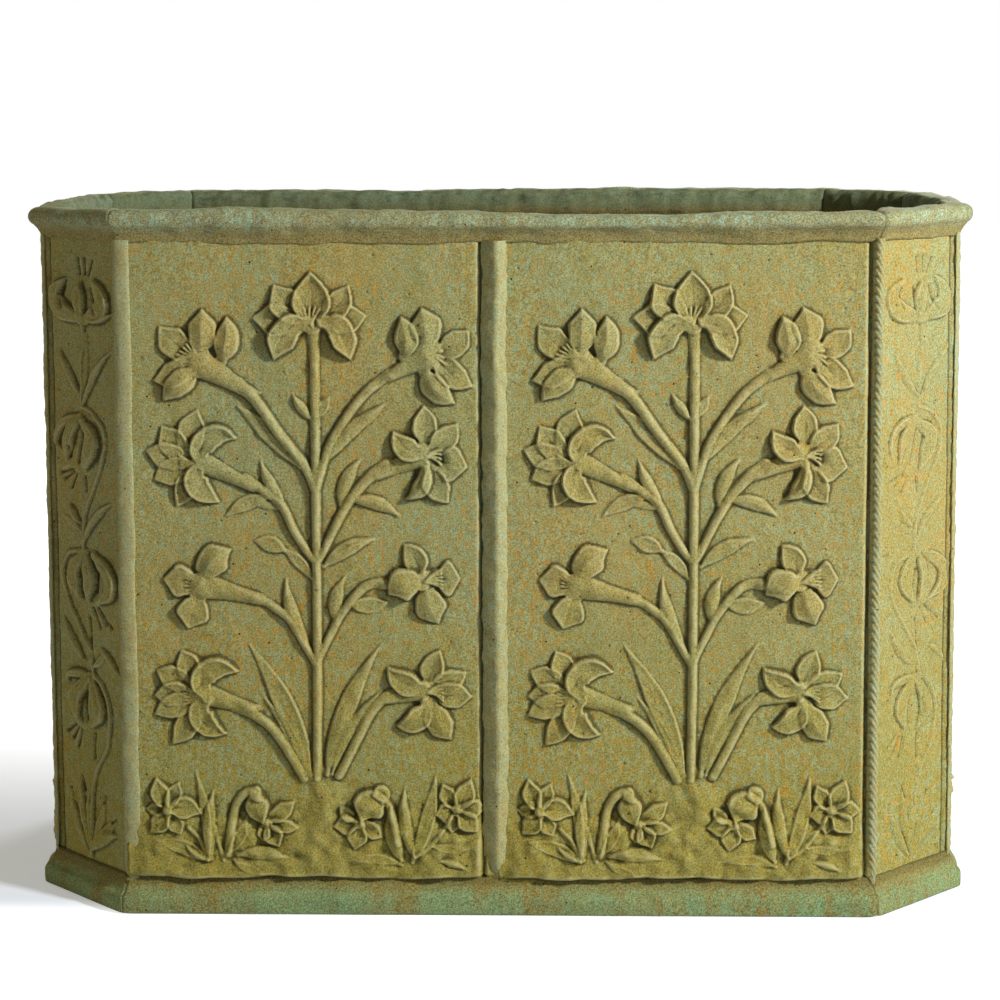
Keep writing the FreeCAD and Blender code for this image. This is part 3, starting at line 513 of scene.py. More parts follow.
def panelPiece(side, start, length, relief, maps, mitres, nodes, ratio):
    # A wall slab whose outer face carries the relief, closed by its edges and a plain inner face
    origin, along, outward = sideFrame(side)
    across, up = relief.across / 1000, relief.up / 1000
    rows, cols = len(up), len(across)
    outer = (origin + (start + across)[None, :, None] * along + relief.height[:, :, None] / 1000 * outward
             + up[:, None, None] * upward)
    index = np.arange(rows * cols).reshape(rows, cols)
    quads = np.stack([index[:-1, :-1], index[:-1, 1:], index[1:, 1:], index[1:, :-1]], axis=-1).reshape(-1, 4)
    border = np.concatenate([index[0, :-1], index[:-1, -1], index[-1, :0:-1], index[:0:-1, 0]])
    low, high = mitres[0] * body["wall"], length - mitres[1] * body["wall"]
    inner = low + (across - across[0]) / (across[-1] - across[0]) * (high - low)
    backAcross, backUp = np.tile(inner, rows)[border], np.repeat(up, cols)[border]
    back = (origin + (start + backAcross)[:, None] * along - body["wall"] * outward
            + backUp[:, None] * upward)
    middle = (origin + (start + (low + high) / 2) * along - body["wall"] * outward
              + np.array([0, 0, up.mean()]))
    points = np.concatenate([outer.reshape(-1, 3), back, middle[None, :]])
    ring = rows * cols + np.arange(len(border))
    edges = np.stack([border, ring, np.roll(ring, -1), np.roll(border, -1)], axis=-1)
    fan = np.stack([ring, np.full(len(ring), len(points) - 1), np.roll(ring, -1)], axis=-1)
    mesh = makeMesh("rough", points, np.concatenate([quads, edges]), fan)
    mesh = modified(mesh, "DECIMATE", {"ratio": ratio}, {})

    spots = vertexSpots(mesh) - origin
    atCol, atRow = nearestCell(spots @ along - start, across), nearestCell(spots[:, 2], up)
    faceDepth, facing = 0.004, 0.05  # what counts as the outer face, for points and for smooth faces
    onFace = (spots @ outward > -faceDepth).astype(float)
    for attribute, field in zip(("recessShadeAndDirt", "fine", "raised"), (*maps, relief.raised())):
        setAttribute(mesh, attribute, field[atRow, atCol] * onFace)
    # Painted shade, tinted green, on the slab's inner face and edges, where the cracks also show
    setAttribute(mesh, "damp", 1 - onFace)
    normals = np.empty(len(mesh.polygons) * 3, dtype=np.float32)
    mesh.polygons.foreach_get("normal", normals)
    mesh.polygons.foreach_set("use_smooth", normals.reshape(-1, 3) @ outward > facing)
    makePiece(mesh, wallClay, nodes)


def sheetSpot(drawing, middle, squeeze=1.0):
    # Turns a place on a drawing's sheet into millimetres across and up its panel
    def spot(place):
        line = drawing["middle"] + drawing["lean"] * (place[1] - drawing["pivot"])
        return (middle + (place[0] - line) * drawing["across"] * squeeze,
                drawing["levelHeight"] - (place[1] - drawing["level"]) * drawing["up"])
    return spot


# The ground swells out under the row of flowers, rough and ragged, and hangs over the plinth
bank = {"seed": 5, "top": 104, "heap": 22, "heapHalf": 34, "slope": 66, "bulge": 6.4, "brink": 0.9,
        "lumps": (9, 34), "crumbs": (3.2, 8), "foot": 33.5, "undercut": 0.9, "footSlope": 4,
        "sideKept": 0.35, "sideStart": 4, "sideWidth": 16}


def groundBank(across, up, middle):
    chance = np.random.default_rng(bank["seed"])
    aside, level = (across - middle)[None, :], up[:, None]
    edge = bank["top"] + bank["heap"] * np.exp(-(aside / bank["heapHalf"]) ** 2)
    edge = edge + 5 * np.sin(aside / 13 + 1) + 3 * np.sin(aside / 5.2)
    depth = np.clip((edge - level) / bank["slope"], 0, 1)
    shape = (len(up), len(across))
    lumps = blurred(chance.normal(size=shape), bank["lumps"][0]) * bank["lumps"][1]
    lumps = lumps + blurred(chance.normal(size=shape), bank["crumbs"][0]) * bank["crumbs"][1]
    hem = bank["foot"] + 1.1 * np.sin(aside / 26 + 2) + 0.6 * np.sin(aside / 7.7)
    foot = 1 - bank["undercut"] * eased((hem - level) / bank["footSlope"])
    sideward = np.minimum(across - across[0], across[-1] - across)[None, :]
    flank = eased((sideward - bank["sideStart"]) / bank["sideWidth"])
    ground = bank["bulge"] * eased(depth) + bank["brink"] * eased(depth * 14) + lumps * eased(depth * 4)
    return ground * foot * (bank["sideKept"] + (1 - bank["sideKept"]) * flank)


# How full the forms are made. Widths, rises and cups are against the drawing, but leafRise and cupMore are in
# millimetres. A crown is a height for a half width, and a lift is a share of what lies below.
unitForm = 0.865  # millimetres for one unit of a width
spray = {"leafWide": 1.1, "leafRise": 2.7, "leafLift": 0.2, "crown": 1.15, "mouthCrown": 0.55, "fade": 0.5,
         "stemLift": 0.15, "petalWide": 1.16, "petalRise": 1.4, "cup": 1.4, "cupMore": 0.7, "petalLift": 0.3}
curl = {"wide": 1.05, "rise": 1.15, "cup": 1.6, "tipness": 0.55}
groundRow = {"leafWide": 1.0, "leafRise": 2.8, "leafLift": 0.9, "crown": 1.2, "fade": 0.0, "stemLift": 0.9,
             "petalWide": 1.14, "petalRise": 1.25, "cup": 1.3, "cupMore": 0.5, "petalLift": 0.85}


def lilyRelief(across, up, middle, squeeze):
    # The broad drawing on a field, squeezed across where the field is narrower
    relief = Relief(across, up)
    relief.height += groundBank(across, up, middle)
    spot = sheetSpot(sheet, middle, squeeze)
    form = unitForm * (0.5 + 0.5 * squeeze)

    def layLeaves(rows, full):
        for base, tip, half, bend in rows:
            leaf(relief, spot(base), spot(tip), half * form * full["leafWide"], bend * form, full["leafRise"],
                 full["leafLift"])

    def layStems(rows, full):
        for path, startHalf, endHalf in rows:
            tube(relief, spline([spot(place) for place in path]), startHalf * form, endHalf * form,
                 full["crown"], None, full["stemLift"], full["fade"])

    def layPetals(rows, full):
        for base, tip, half, bend, rise, cup in rows:
            petal(relief, bow(spot(base), spot(tip), bend * form), half * form * full["petalWide"],
                  rise * full["petalRise"], cup * full["cup"] + np.sign(cup) * full["cupMore"],
                  lift=full["petalLift"])

    layLeaves(leafRows, spray)
    layStems(stemRows, spray)
    for neck, mouth, startHalf, endHalf in throatRows:
        tube(relief, [spot(neck), spot(mouth)], startHalf * form, endHalf * form, spray["crown"],
             spray["mouthCrown"], 0.0)
    layPetals(petalRows, spray)
    for path, half, rise, cup in curlRows:
        petal(relief, spline([spot(place) for place in path]), half * form * curl["wide"],
              rise * curl["rise"], cup * curl["cup"], curl["tipness"])
    for place, radius, depth in hollowRows:
        hollow(relief, spot(place), radius * form, depth)
    for root, first, last, count in stamenRows:
        stamens(relief, spot(root), [spot(tip) for tip in np.linspace(first, last, count)])
    layLeaves(groundLeaves, groundRow)
    layStems(groundStems, groundRow)
    layPetals(groundPetals, groundRow)
    for place, radius, depth in groundHollows:
        hollow(relief, spot(place), radius, depth)
    return relief


vine = {"leafRise": 2.2, "stemHalf": 2.1, "stemCrown": 1.1, "bellRise": 1.25, "bellCup": 1.5,
        "bellTipness": 0.5, "bellLift": 0.2, "strokeHalf": 1.9, "strokeDepth": 2.6}


def vineRelief(across, up, middle):
    relief = Relief(across, up)
    spot = sheetSpot(vineSheet, middle)
    for base, tip, half, bend in vineLeaves:
        leaf(relief, spot(base), spot(tip), half, bend, vine["leafRise"])
    for path in vineStems:
        tube(relief, spline([spot(place) for place in path]), vine["stemHalf"], vine["stemHalf"],
             vine["stemCrown"])
    for path, half, rise, cup in vineBells:
        petal(relief, spline([spot(place) for place in path]), half, rise * vine["bellRise"],
              cup * vine["bellCup"], vine["bellTipness"], vine["bellLift"])
    for path in vineStrokes:
        groove(relief, spline([spot(place) for place in path]), vine["strokeHalf"], vine["strokeDepth"])
    return relief


def noiseNode(tree, coordinates, scale, detail, roughness):
    node = tree.nodes.new("ShaderNodeTexNoise")
    node.inputs["Scale"].default_value = scale
    node.inputs["Detail"].default_value = detail
    node.inputs["Roughness"].default_value = roughness
    tree.links.new(coordinates, node.inputs["Vector"])
    return node.outputs["Fac"]


def ramped(tree, value, low, high):
    # Fades in smoothly from a low level to a high one, or the other way round
    node = tree.nodes.new("ShaderNodeMapRange")
    node.interpolation_type = "SMOOTHSTEP"
    node.inputs["From Min"].default_value = low
    node.inputs["From Max"].default_value = high
    tree.links.new(value, node.inputs["Value"])
    return node.outputs["Result"]


def between(tree, share, least, most):
    node = tree.nodes.new("ShaderNodeMapRange")
    node.inputs["To Min"].default_value = least
    node.inputs["To Max"].default_value = most
    tree.links.new(share, node.inputs["Value"])
    return node.outputs["Result"]


def mathNode(tree, operation, first, second):
    node = tree.nodes.new("ShaderNodeMath")
    node.operation = operation
    tree.links.new(first, node.inputs[0])
    if isinstance(second, (int, float)):
        node.inputs[1].default_value = second
    else:
        tree.links.new(second, node.inputs[1])
    return node.outputs[0]


def times(tree, first, second):
    return mathNode(tree, "MULTIPLY", first, second)


def larger(tree, first, second):
    return mathNode(tree, "MAXIMUM", first, second)


def attributeNode(tree, name):
    node = tree.nodes.new("ShaderNodeAttribute")
    node.attribute_name = name
    return node.outputs["Fac"]


def stretched(tree, place, upScale):
    # Coordinates for a pattern that is drawn out downward, or squashed where the scale is over one
    node = tree.nodes.new("ShaderNodeMapping")
    node.inputs["Scale"].default_value = (1.0, 1.0, upScale)
    tree.links.new(place, node.inputs["Vector"])
    return node.outputs["Vector"]


def mixed(tree, share, first, second, blend="MIX"):
    node = tree.nodes.new("ShaderNodeMix")
    node.data_type = "RGBA"
    node.blend_type = blend
    for value, socket in ((share, node.inputs["Factor"]), (first, node.inputs[6]), (second, node.inputs[7])):
        if isinstance(value, (int, float)):
            socket.default_value = value
        elif isinstance(value, tuple):
            socket.default_value = (*value, 1)
        else:
            tree.links.new(value, socket)
    return node.outputs[2]


def linear(red, green, blue):
    # A colour as a screen shows it, in the units that a shader takes
    return tuple((c / 255 / 12.92) if c / 255 <= 0.04045 else ((c / 255 + 0.055) / 1.055) ** 2.4
                 for c in (red, green, blue))


# The patterns of the clay: scale, detail and roughness of a noise, and the levels between which it fades in
clayNoise = {
    "patches": (11, 4, 0.6, 0.28, 0.72), "runs": (34, 4, 0.65, 0.46, 0.60),
    "clouds": (6.5, 3, 0.6, 0.35, 0.68), "green": (235, 4, 0.75, 0.45, 0.58),
    "rust": (210, 4, 0.75, 0.53, 0.62), "rustPlaces": (9.5, 3, 0.6, 0.24, 0.74),
    "specks": (470, 2, 0.6, 0.60, 0.72), "cracks": (48, 5, 0.75, 0.53, 0.60),
    "grain": (760, 2, 0.6, 0.3, 0.7),
}
# The crest levels, share and colour are a painted highlight on the relief's crests
clay = {"streak": 0.55, "run": 0.16, "squash": 3.5, "bareOnRaised": 0.35, "greenClouds": (-0.7, 1.0),
        "specks": 0.5, "speckColour": linear(70, 64, 36), "pinholeScale": 55, "pinholes": (0.062, 0.036),
        "pinholeColour": linear(34, 28, 14), "cracks": 0.5, "crackColour": linear(40, 42, 26),
        "crest": (0.15, 0.9), "paintedHighlightShare": 0.36, "paintedHighlightColour": linear(200, 194, 148),
        "roughness": 0.86, "specular": 0.22, "bumpScale": 520, "bumpStrength": 0.4, "bumpHeight": 0.0007}
# Painted shade by the mesh's own attributes, partly dirt in the recesses: the levels between which each fades
# in, its share and its colour
paintedShadeLayers = {"recessShadeAndDirt": (0.08, 0.9, 0.36, linear(58, 52, 24)), "fine": (0.14, 0.85, 0.68, linear(40, 34, 15)),
              "damp": (0.0, 1.0, 0.68, linear(84, 100, 74))}


def clayMaterial(name, olive, ochre, verdigris, rust, flecks, wash=None):
    # Fired clay with fine flecks of green and rust, streaked downward, with painted shade in its recesses,
    # partly dirt, and on its inner faces, and a painted highlight on its crests
    material = bpy.data.materials.new(name)
    material.use_nodes = True
    tree = material.node_tree
    shader = tree.nodes["Principled BSDF"]
    place = tree.nodes.new("ShaderNodeTexCoord").outputs["Object"]
    streaked = stretched(tree, place, clay["streak"])

    def pattern(kind, coordinates):
        scale, detail, roughness, low, high = clayNoise[kind]
        return ramped(tree, noiseNode(tree, coordinates, scale, detail, roughness), low, high)

    colour = mixed(tree, pattern("patches", streaked), olive, ochre)
    if wash:
        # Another colour below or above a level, fading over a height, and running down
        parts = tree.nodes.new("ShaderNodeSeparateXYZ")
        tree.links.new(place, parts.inputs[0])
        share = ramped(tree, parts.outputs["Z"], wash["from"], wash["to"])
        colour = mixed(tree, times(tree, share, wash["share"]), colour, wash["colour"])
        runs = pattern("runs", stretched(tree, place, clay["run"]))
        colour = mixed(tree, times(tree, runs, wash["runs"]), colour, wash["colour"])

    # Flecks are rubbed off the raised places, and the wash covers some of the green
    bare = between(tree, attributeNode(tree, "raised"), 1.0, clay["bareOnRaised"])
    clouds = ramped(tree, pattern("clouds", place), *clay["greenClouds"])
    green = times(tree, times(tree, pattern("green", streaked), clouds), bare)
    if wash:
        green = times(tree, green, between(tree, share, 1.0, 1.0 - wash["cover"]))
    colour = mixed(tree, times(tree, green, flecks["green"]), colour, verdigris)
    spots = times(tree, times(tree, pattern("rust", streaked), bare), pattern("rustPlaces", streaked))
    colour = mixed(tree, times(tree, spots, flecks["rust"]), colour, rust)
    colour = mixed(tree, times(tree, pattern("specks", place), clay["specks"]), colour, clay["speckColour"])
    pinholes = tree.nodes.new("ShaderNodeTexVoronoi")
    pinholes.inputs["Scale"].default_value = clay["pinholeScale"]
    tree.links.new(place, pinholes.inputs["Vector"])
    pinholes = ramped(tree, pinholes.outputs["Distance"], *clay["pinholes"])
    colour = mixed(tree, pinholes, colour, clay["pinholeColour"])
    cracks = pattern("cracks", stretched(tree, place, clay["squash"]))
    cracks = times(tree, times(tree, cracks, attributeNode(tree, "damp")), clay["cracks"])
    colour = mixed(tree, cracks, colour, clay["crackColour"])
    grain = mixed(tree, pattern("grain", place), (0.0, 0.0, 0.0), (1.0, 1.0, 1.0))
    colour = mixed(tree, flecks["grain"], colour, grain, "SOFT_LIGHT")

    # Painted shade in the recesses, partly dirt, in the fine hollows and on the inner faces, and a painted
    # highlight on the crests
    for attribute, (low, high, share, tint) in paintedShadeLayers.items():
        layer = attributeNode(tree, attribute)
        colour = mixed(tree, times(tree, ramped(tree, layer, low, high), share), colour, tint)
        if attribute == "fine":
            crest = ramped(tree, times(tree, layer, -1), *clay["crest"])
            colour = mixed(tree, times(tree, crest, clay["paintedHighlightShare"]), colour, clay["paintedHighlightColour"])

    tree.links.new(colour, shader.inputs["Base Color"])
    shader.inputs["Roughness"].default_value = clay["roughness"]
    shader.inputs["Specular IOR Level"].default_value = clay["specular"]
    bump = tree.nodes.new("ShaderNodeBump")
    bump.inputs["Strength"].default_value = clay["bumpStrength"]
    bump.inputs["Distance"].default_value = clay["bumpHeight"]
    tree.links.new(noiseNode(tree, place, clay["bumpScale"], 3, 0.7), bump.inputs["Height"])
    tree.links.new(bump.outputs["Normal"], shader.inputs["Normal"])
    return material


wallFlecks = {"green": 0.88, "rust": 0.80, "grain": 0.50}
edgeFlecks = {"green": 0.66, "rust": 0.34, "grain": 0.34}
washFlecks = {"green": 0.85, "rust": 0.40, "grain": 0.60}
plinthFlecks = {"green": 0.62, "rust": 0.30, "grain": 0.60}
lowWash = {"from": 0.36, "to": 0.03, "share": 0.70, "colour": linear(142, 130, 44), "runs": 0.25,
           "cover": 0.2}
rimWash = {"from": 0.601, "to": 0.588, "share": 0.85, "colour": linear(150, 134, 76), "runs": 0.35,
           "cover": 0.8}
plinthWash = {"from": 0.016, "to": 0.027, "share": 0.7, "colour": linear(134, 114, 54), "runs": 0.7,
              "cover": 0.7}
wallClay = clayMaterial("wallClay", linear(146, 144, 92), linear(160, 143, 80), linear(146, 160, 118),
                        linear(188, 132, 24), wallFlecks, lowWash)
beadClay = clayMaterial("beadClay", linear(160, 158, 112), linear(160, 150, 94), linear(154, 170, 136),
                        linear(160, 112, 54), edgeFlecks)
rimClay = clayMaterial("rimClay", linear(140, 147, 112), linear(140, 138, 94), linear(152, 176, 148),
                       linear(146, 112, 60), washFlecks, rimWash)
plinthClay = clayMaterial("plinthClay", linear(122, 144, 98), linear(136, 138, 84), linear(124, 158, 116),
                          linear(152, 116, 56), plinthFlecks, plinthWash)
floorClay = clayMaterial("floorClay", linear(120, 126, 92), linear(118, 112, 76), linear(128, 144, 116),
                         linear(130, 92, 50), edgeFlecks)

# Wall panels. Their reliefs are millimetre cells, thinned where they are smooth. The drawing stands at the
# middle of its panel, narrower and lower on the ends. A groove, given as depth, distance from the edge and
# half width, runs down beside a roped bead, at the left of a mullion and beside a corner's ragged bead.
# The painted shade share sets how dark the map of the recesses makes the broad and corner panels
panel = {"step": 1.0, "inset": 0.3, "ratio": 0.40, "keepOff": 12, "stain": 0.75, "endSqueeze": 0.76,
         "endRise": 0.75, "ropeGroove": (4.2, 6.5, 1.9), "mullionGroove": (5.5, 12.6, 2.3)}
cornerPanel = {"ratio": 0.45, "keepOff": 10, "stain": 0.7, "seed": 31, "groove": (2.6, 9.0, 2.4),
               "rise": {"front_left": 1.25, "front_right": 0.55}, "otherRise": 0.8}
halfLength, mitre = frontLength / 2, body["mitre"]
panels = [
    ("front_left", "front", 0.0, halfLength, (mitre, 0), "mullionGroove", 21),
    ("front_right", "front", halfLength, halfLength, (0, mitre), "ropeGroove", 22),
    ("back_right", "back", 0.0, halfLength, (mitre, 0), "mullionGroove", 23),
    ("back_left", "back", halfLength, halfLength, (0, mitre), "ropeGroove", 24),
    ("right_end", "right", 0.0, endLength, (mitre, mitre), None, 25),
    ("left_end", "left", 0.0, endLength, (mitre, mitre), None, 26),
]


def cellLines(length):
    # The lines of a relief's cells across and up a panel
    height = body["wallTop"] - body["wallFoot"]
    across = np.linspace(panel["inset"], length * 1000 - panel["inset"], int(length * 1000 / panel["step"]))
    up = np.linspace(body["wallFoot"] * 1000, body["wallTop"] * 1000, int(height * 1000 / panel["step"]))
    return across, up


def uprightGroove(relief, depth, place, half):
    relief.height -= depth * np.exp(-((relief.across - place) / half) ** 2)[None, :]


for label, side, start, length, mitres, beside, seed in panels:
    relief = lilyRelief(*cellLines(length), length * 500, 1.0 if beside else panel["endSqueeze"])
    if beside:
        depth, inward, half = panel[beside]
        uprightGroove(relief, depth, length * 1000 - inward, half)
    else:
        relief.height *= panel["endRise"]
    maps = finishRelief(relief, seed, panel["keepOff"], panel["stain"])
    panelPiece(side, start, length, relief, maps, mitres,
               [f"{label}_panel", f"{label}_lily", f"{label}_ground"], panel["ratio"])
print("broad panels ready")

for seed, label in enumerate(("front_right", "back_right", "back_left", "front_left")):
    relief = vineRelief(*cellLines(cutLength), cutLength * 500)
    relief.height *= cornerPanel["rise"].get(label, cornerPanel["otherRise"])
    depth, inward, half = cornerPanel["groove"]
    atStart = label in ("front_left", "back_right")
    uprightGroove(relief, depth, inward if atStart else cutLength * 1000 - inward, half)
    maps = finishRelief(relief, cornerPanel["seed"] + seed, cornerPanel["keepOff"], cornerPanel["stain"])
    panelPiece(f"{label}_corner", 0.0, cutLength, relief, maps, (mitre, mitre),
               [f"{label}_corner_panel", f"{label}_corner_vine"], cornerPanel["ratio"])
print("corner panels ready")


def arcPoints(centre, radius, first, last, count):
    # Points of an arc between two directions, in degrees
    turns = np.radians(np.linspace(first, last, count))
    return [(centre[0] + radius * math.cos(t), centre[1] + radius * math.sin(t)) for t in turns]


strip = {"step": 0.003, "fewestSteps": 12, "endHold": 0.85, "endReach": 0.010, "sagLength": 0.32,
         "sagFlatness": np.array([1, 1, 0.2])}


def mitredStrip(side, shape, seams, material, node):
    # A clay strip along one side, mitred to its neighbours and pinched where a joint is open. Its section
    # runs out of the wall and up, in millimetres, from the wall's outer face and the ground.
    origin, along, outward = sideFrame(side)
    length = sides[side][2]
    drawn = np.array(shape["section"], dtype=float)
    section = drawn / 1000
    count = max(int(length / strip["step"]), strip["fewestSteps"])
    reach = section[None, :, 0] * body["mitre"]
    run = -reach + np.linspace(0, 1, count)[:, None] * (length + 2 * reach)
    centre = section.mean(axis=0)
    ends = (run + reach, length + reach - run)
    closeness = sum(strength * np.exp(-(far / shape["seamWidth"]) ** 2) for far, strength in zip(ends, seams))
    pinch = 1 - shape["seamDepth"] * closeness
    out = centre[0] + (section[None, :, 0] - centre[0]) * pinch
    rise = centre[1] + (section[None, :, 1] - centre[1]) * pinch
    spots = origin + run[:, :, None] * along + out[:, :, None] * outward + rise[:, :, None] * upward
    spots = spots.reshape(-1, 3)
    away = (section - centre) / np.linalg.norm(section - centre, axis=1)[:, None]
    away = np.tile(away, (count, 1))
    push = np.zeros(len(spots))
    for wavelength, depth, where in shape["waves"]:
        push += handWave(spots, wavelength) * depth * np.tile(where(drawn), count)
    push *= 1 - strip["endHold"] * np.exp(-(np.minimum(*ends).ravel() / strip["endReach"]) ** 2)
    sag = handWave(spots * strip["sagFlatness"], strip["sagLength"]) * shape["sag"]
    sag = sag * np.tile(shape["top"](drawn), count)
    spots = spots + push[:, None] * (away[:, :1] * outward + away[:, 1:] * upward)
    spots[:, 2] += sag
    ring = np.arange(len(spots)).reshape(count, len(section))
    after = np.roll(ring, -1, axis=1)
    quads = np.stack([ring[:-1], after[:-1], after[1:], ring[1:]], axis=-1).reshape(-1, 4)
    caps = np.array([spots[ring[0]].mean(axis=0), spots[ring[-1]].mean(axis=0)])
    first, last = len(spots), len(spots) + 1
    fans = np.concatenate([np.stack([after[0], ring[0], np.full(len(section), first)], axis=-1),
                           np.stack([ring[-1], after[-1], np.full(len(section), last)], axis=-1)])
    mesh = makeMesh(node, np.concatenate([spots, caps]), quads, fans)
    # Darker at the joints, added to the section's painted shade
    stain = closeness.ravel() * shape["seamDarkening"] + np.tile(shape["stain"](drawn), count)
    setAttribute(mesh, "recessShadeAndDirt", np.concatenate([stain, [0, 0]]))
    setAttribute(mesh, "damp", np.concatenate([np.tile(shape["damp"](drawn), count), [0, 0]]))
    mesh.polygons.foreach_set("use_smooth", np.arange(len(quads) + len(fans)) < len(quads))
    makePiece(mesh, material, [node])


def grade(far, length):
    # From zero to one over a length
    return np.clip(far / length, 0, 1)


# How freely the points of a section move: less where the rim sits on the wall, and the plinth on the ground
def rimFree(s):
    inside = grade(s[:, 1] - 584, 5)
    outside = np.clip((s[:, 1] - 574) / 9, 0.3, 1)
    return np.where(s[:, 0] < -1.4, inside, outside)


def rimInside(s):
    # The rough inner face, which also gets a green painted shade
    return grade(-8 - s[:, 0], 4) * grade(s[:, 1] - 584, 4)


def plinthFree(s):
    return grade(s[:, 1], 5) * grade(s[:, 0], 3)


# The rim is a roll over a hollow underside that runs down onto the wall, with painted shade under the roll.
# Inside it is rough and green, darkened by painted shade.
rim = {
    "section": ([(-16, 584), (-8, 584), (-1.5, 584), (-1.2, 582), (0.7, 581.5), (1.4, 583.5), (2.6, 586.5),
                 (4.5, 589.8), (6.8, 592.6)] + arcPoints((3.9, 600.8), 8.1, -62, 88, 12)
                + arcPoints((-7.9, 600.8), 8.1, 92, 180, 8) + [(-16.1, 594)]),
    "waves": [(0.12, 0.0008, rimFree), (0.045, 0.0006, rimFree), (0.017, 0.0004, rimFree),
              (0.034, 0.0014, rimInside), (0.012, 0.0009, rimInside)],
    "sag": 0.0013, "top": lambda s: grade(s[:, 1] - 592, 12),
    # Painted shade under the roll, and a green painted shade on the inner face
    "stain": lambda s: 0.42 * grade(597 - s[:, 1], 7), "damp": rimInside,
    "seamDepth": 0.16, "seamWidth": 0.0035, "seamDarkening": 0.55,
}
# The plinth is a band whose rounded top edge falls back in a hollow to the wall
plinth = {
    "section": ([(0, 0), (4, 0)] + arcPoints((9, 2), 2, -80, 0, 4) + [(11.2, 7)]
                + arcPoints((5.5, 12.5), 5.7, 0, 66, 7)
                + [(6, 19.8), (4.2, 22.6), (2.6, 25.6), (1.2, 29), (0.3, 33), (0, 30), (0, 16)]),
    "waves": [(0.10, 0.0011, plinthFree), (0.04, 0.0006, plinthFree), (0.016, 0.0003, plinthFree)],
    "sag": 0.0014, "top": lambda s: grade(s[:, 1] - 8, 10) * grade(s[:, 0], 3),
    # Painted shade in the hollow where the plinth meets the wall, and along its foot on the floor
    "stain": lambda s: 0.85 * grade(s[:, 1] - 21, 7) + 0.4 * grade(3 - s[:, 1], 3),
    "damp": lambda s: np.zeros(len(s)), "seamDepth": 0.12, "seamWidth": 0.003, "seamDarkening": 0.3,
}
# How far the joint at the start of a side stands open
openJoints = {"front_right_corner": 1.0, "front": 0.3}
closedJoint = 0.15
order = list(sides)
for side, following in zip(order, order[1:] + order[:1]):
    seams = (openJoints.get(side, closedJoint), openJoints.get(following, closedJoint))
    mitredStrip(side, rim, seams, rimClay, f"{side}_rim")
    mitredStrip(side, plinth, seams, plinthClay, f"{side}_plinth")
print("rim and plinth ready")


class NodeGroup:
    # A geometry node group with named inputs, and short ways to add and join its nodes
    def __init__(self, name, inputs):
        self.tree = bpy.data.node_groups.new(name, "GeometryNodeTree")
        self.tree.interface.new_socket("Geometry", in_out="OUTPUT", socket_type="NodeSocketGeometry")
        for label, kind in inputs:
            self.tree.interface.new_socket(label, in_out="INPUT", socket_type=kind)
        self.start = self.tree.nodes.new("NodeGroupInput")
        self.end = self.tree.nodes.new("NodeGroupOutput")

    def add(self, kind, settings=None, **links):
        node = self.tree.nodes.new(kind)
        for key, value in (settings or {}).items():
            setattr(node, key, value)
        for label, value in links.items():
            self.join(value, self.socket(node, label))
        return node

    def socket(self, node, label):
        if label.startswith("slot"):
            return node.inputs[int(label[4:])]
        return node.inputs[label.replace("_", " ")]

    def join(self, value, socket):
        if isinstance(value, bpy.types.NodeSocket):
            self.tree.links.new(value, socket)
        else:
            socket.default_value = value

    def given(self, label):
        return self.start.outputs[label]

    def math(self, operation, first, second=0.0):
        return self.add("ShaderNodeMath", {"operation": operation}, slot0=first, slot1=second).outputs[0]


stripForm = {"step": 0.0012, "sides": 28, "swayScale": 14.0, "lumpScale": 75.0, "slant": 1.5,
             "markShape": 0.6, "markShade": 700.0}


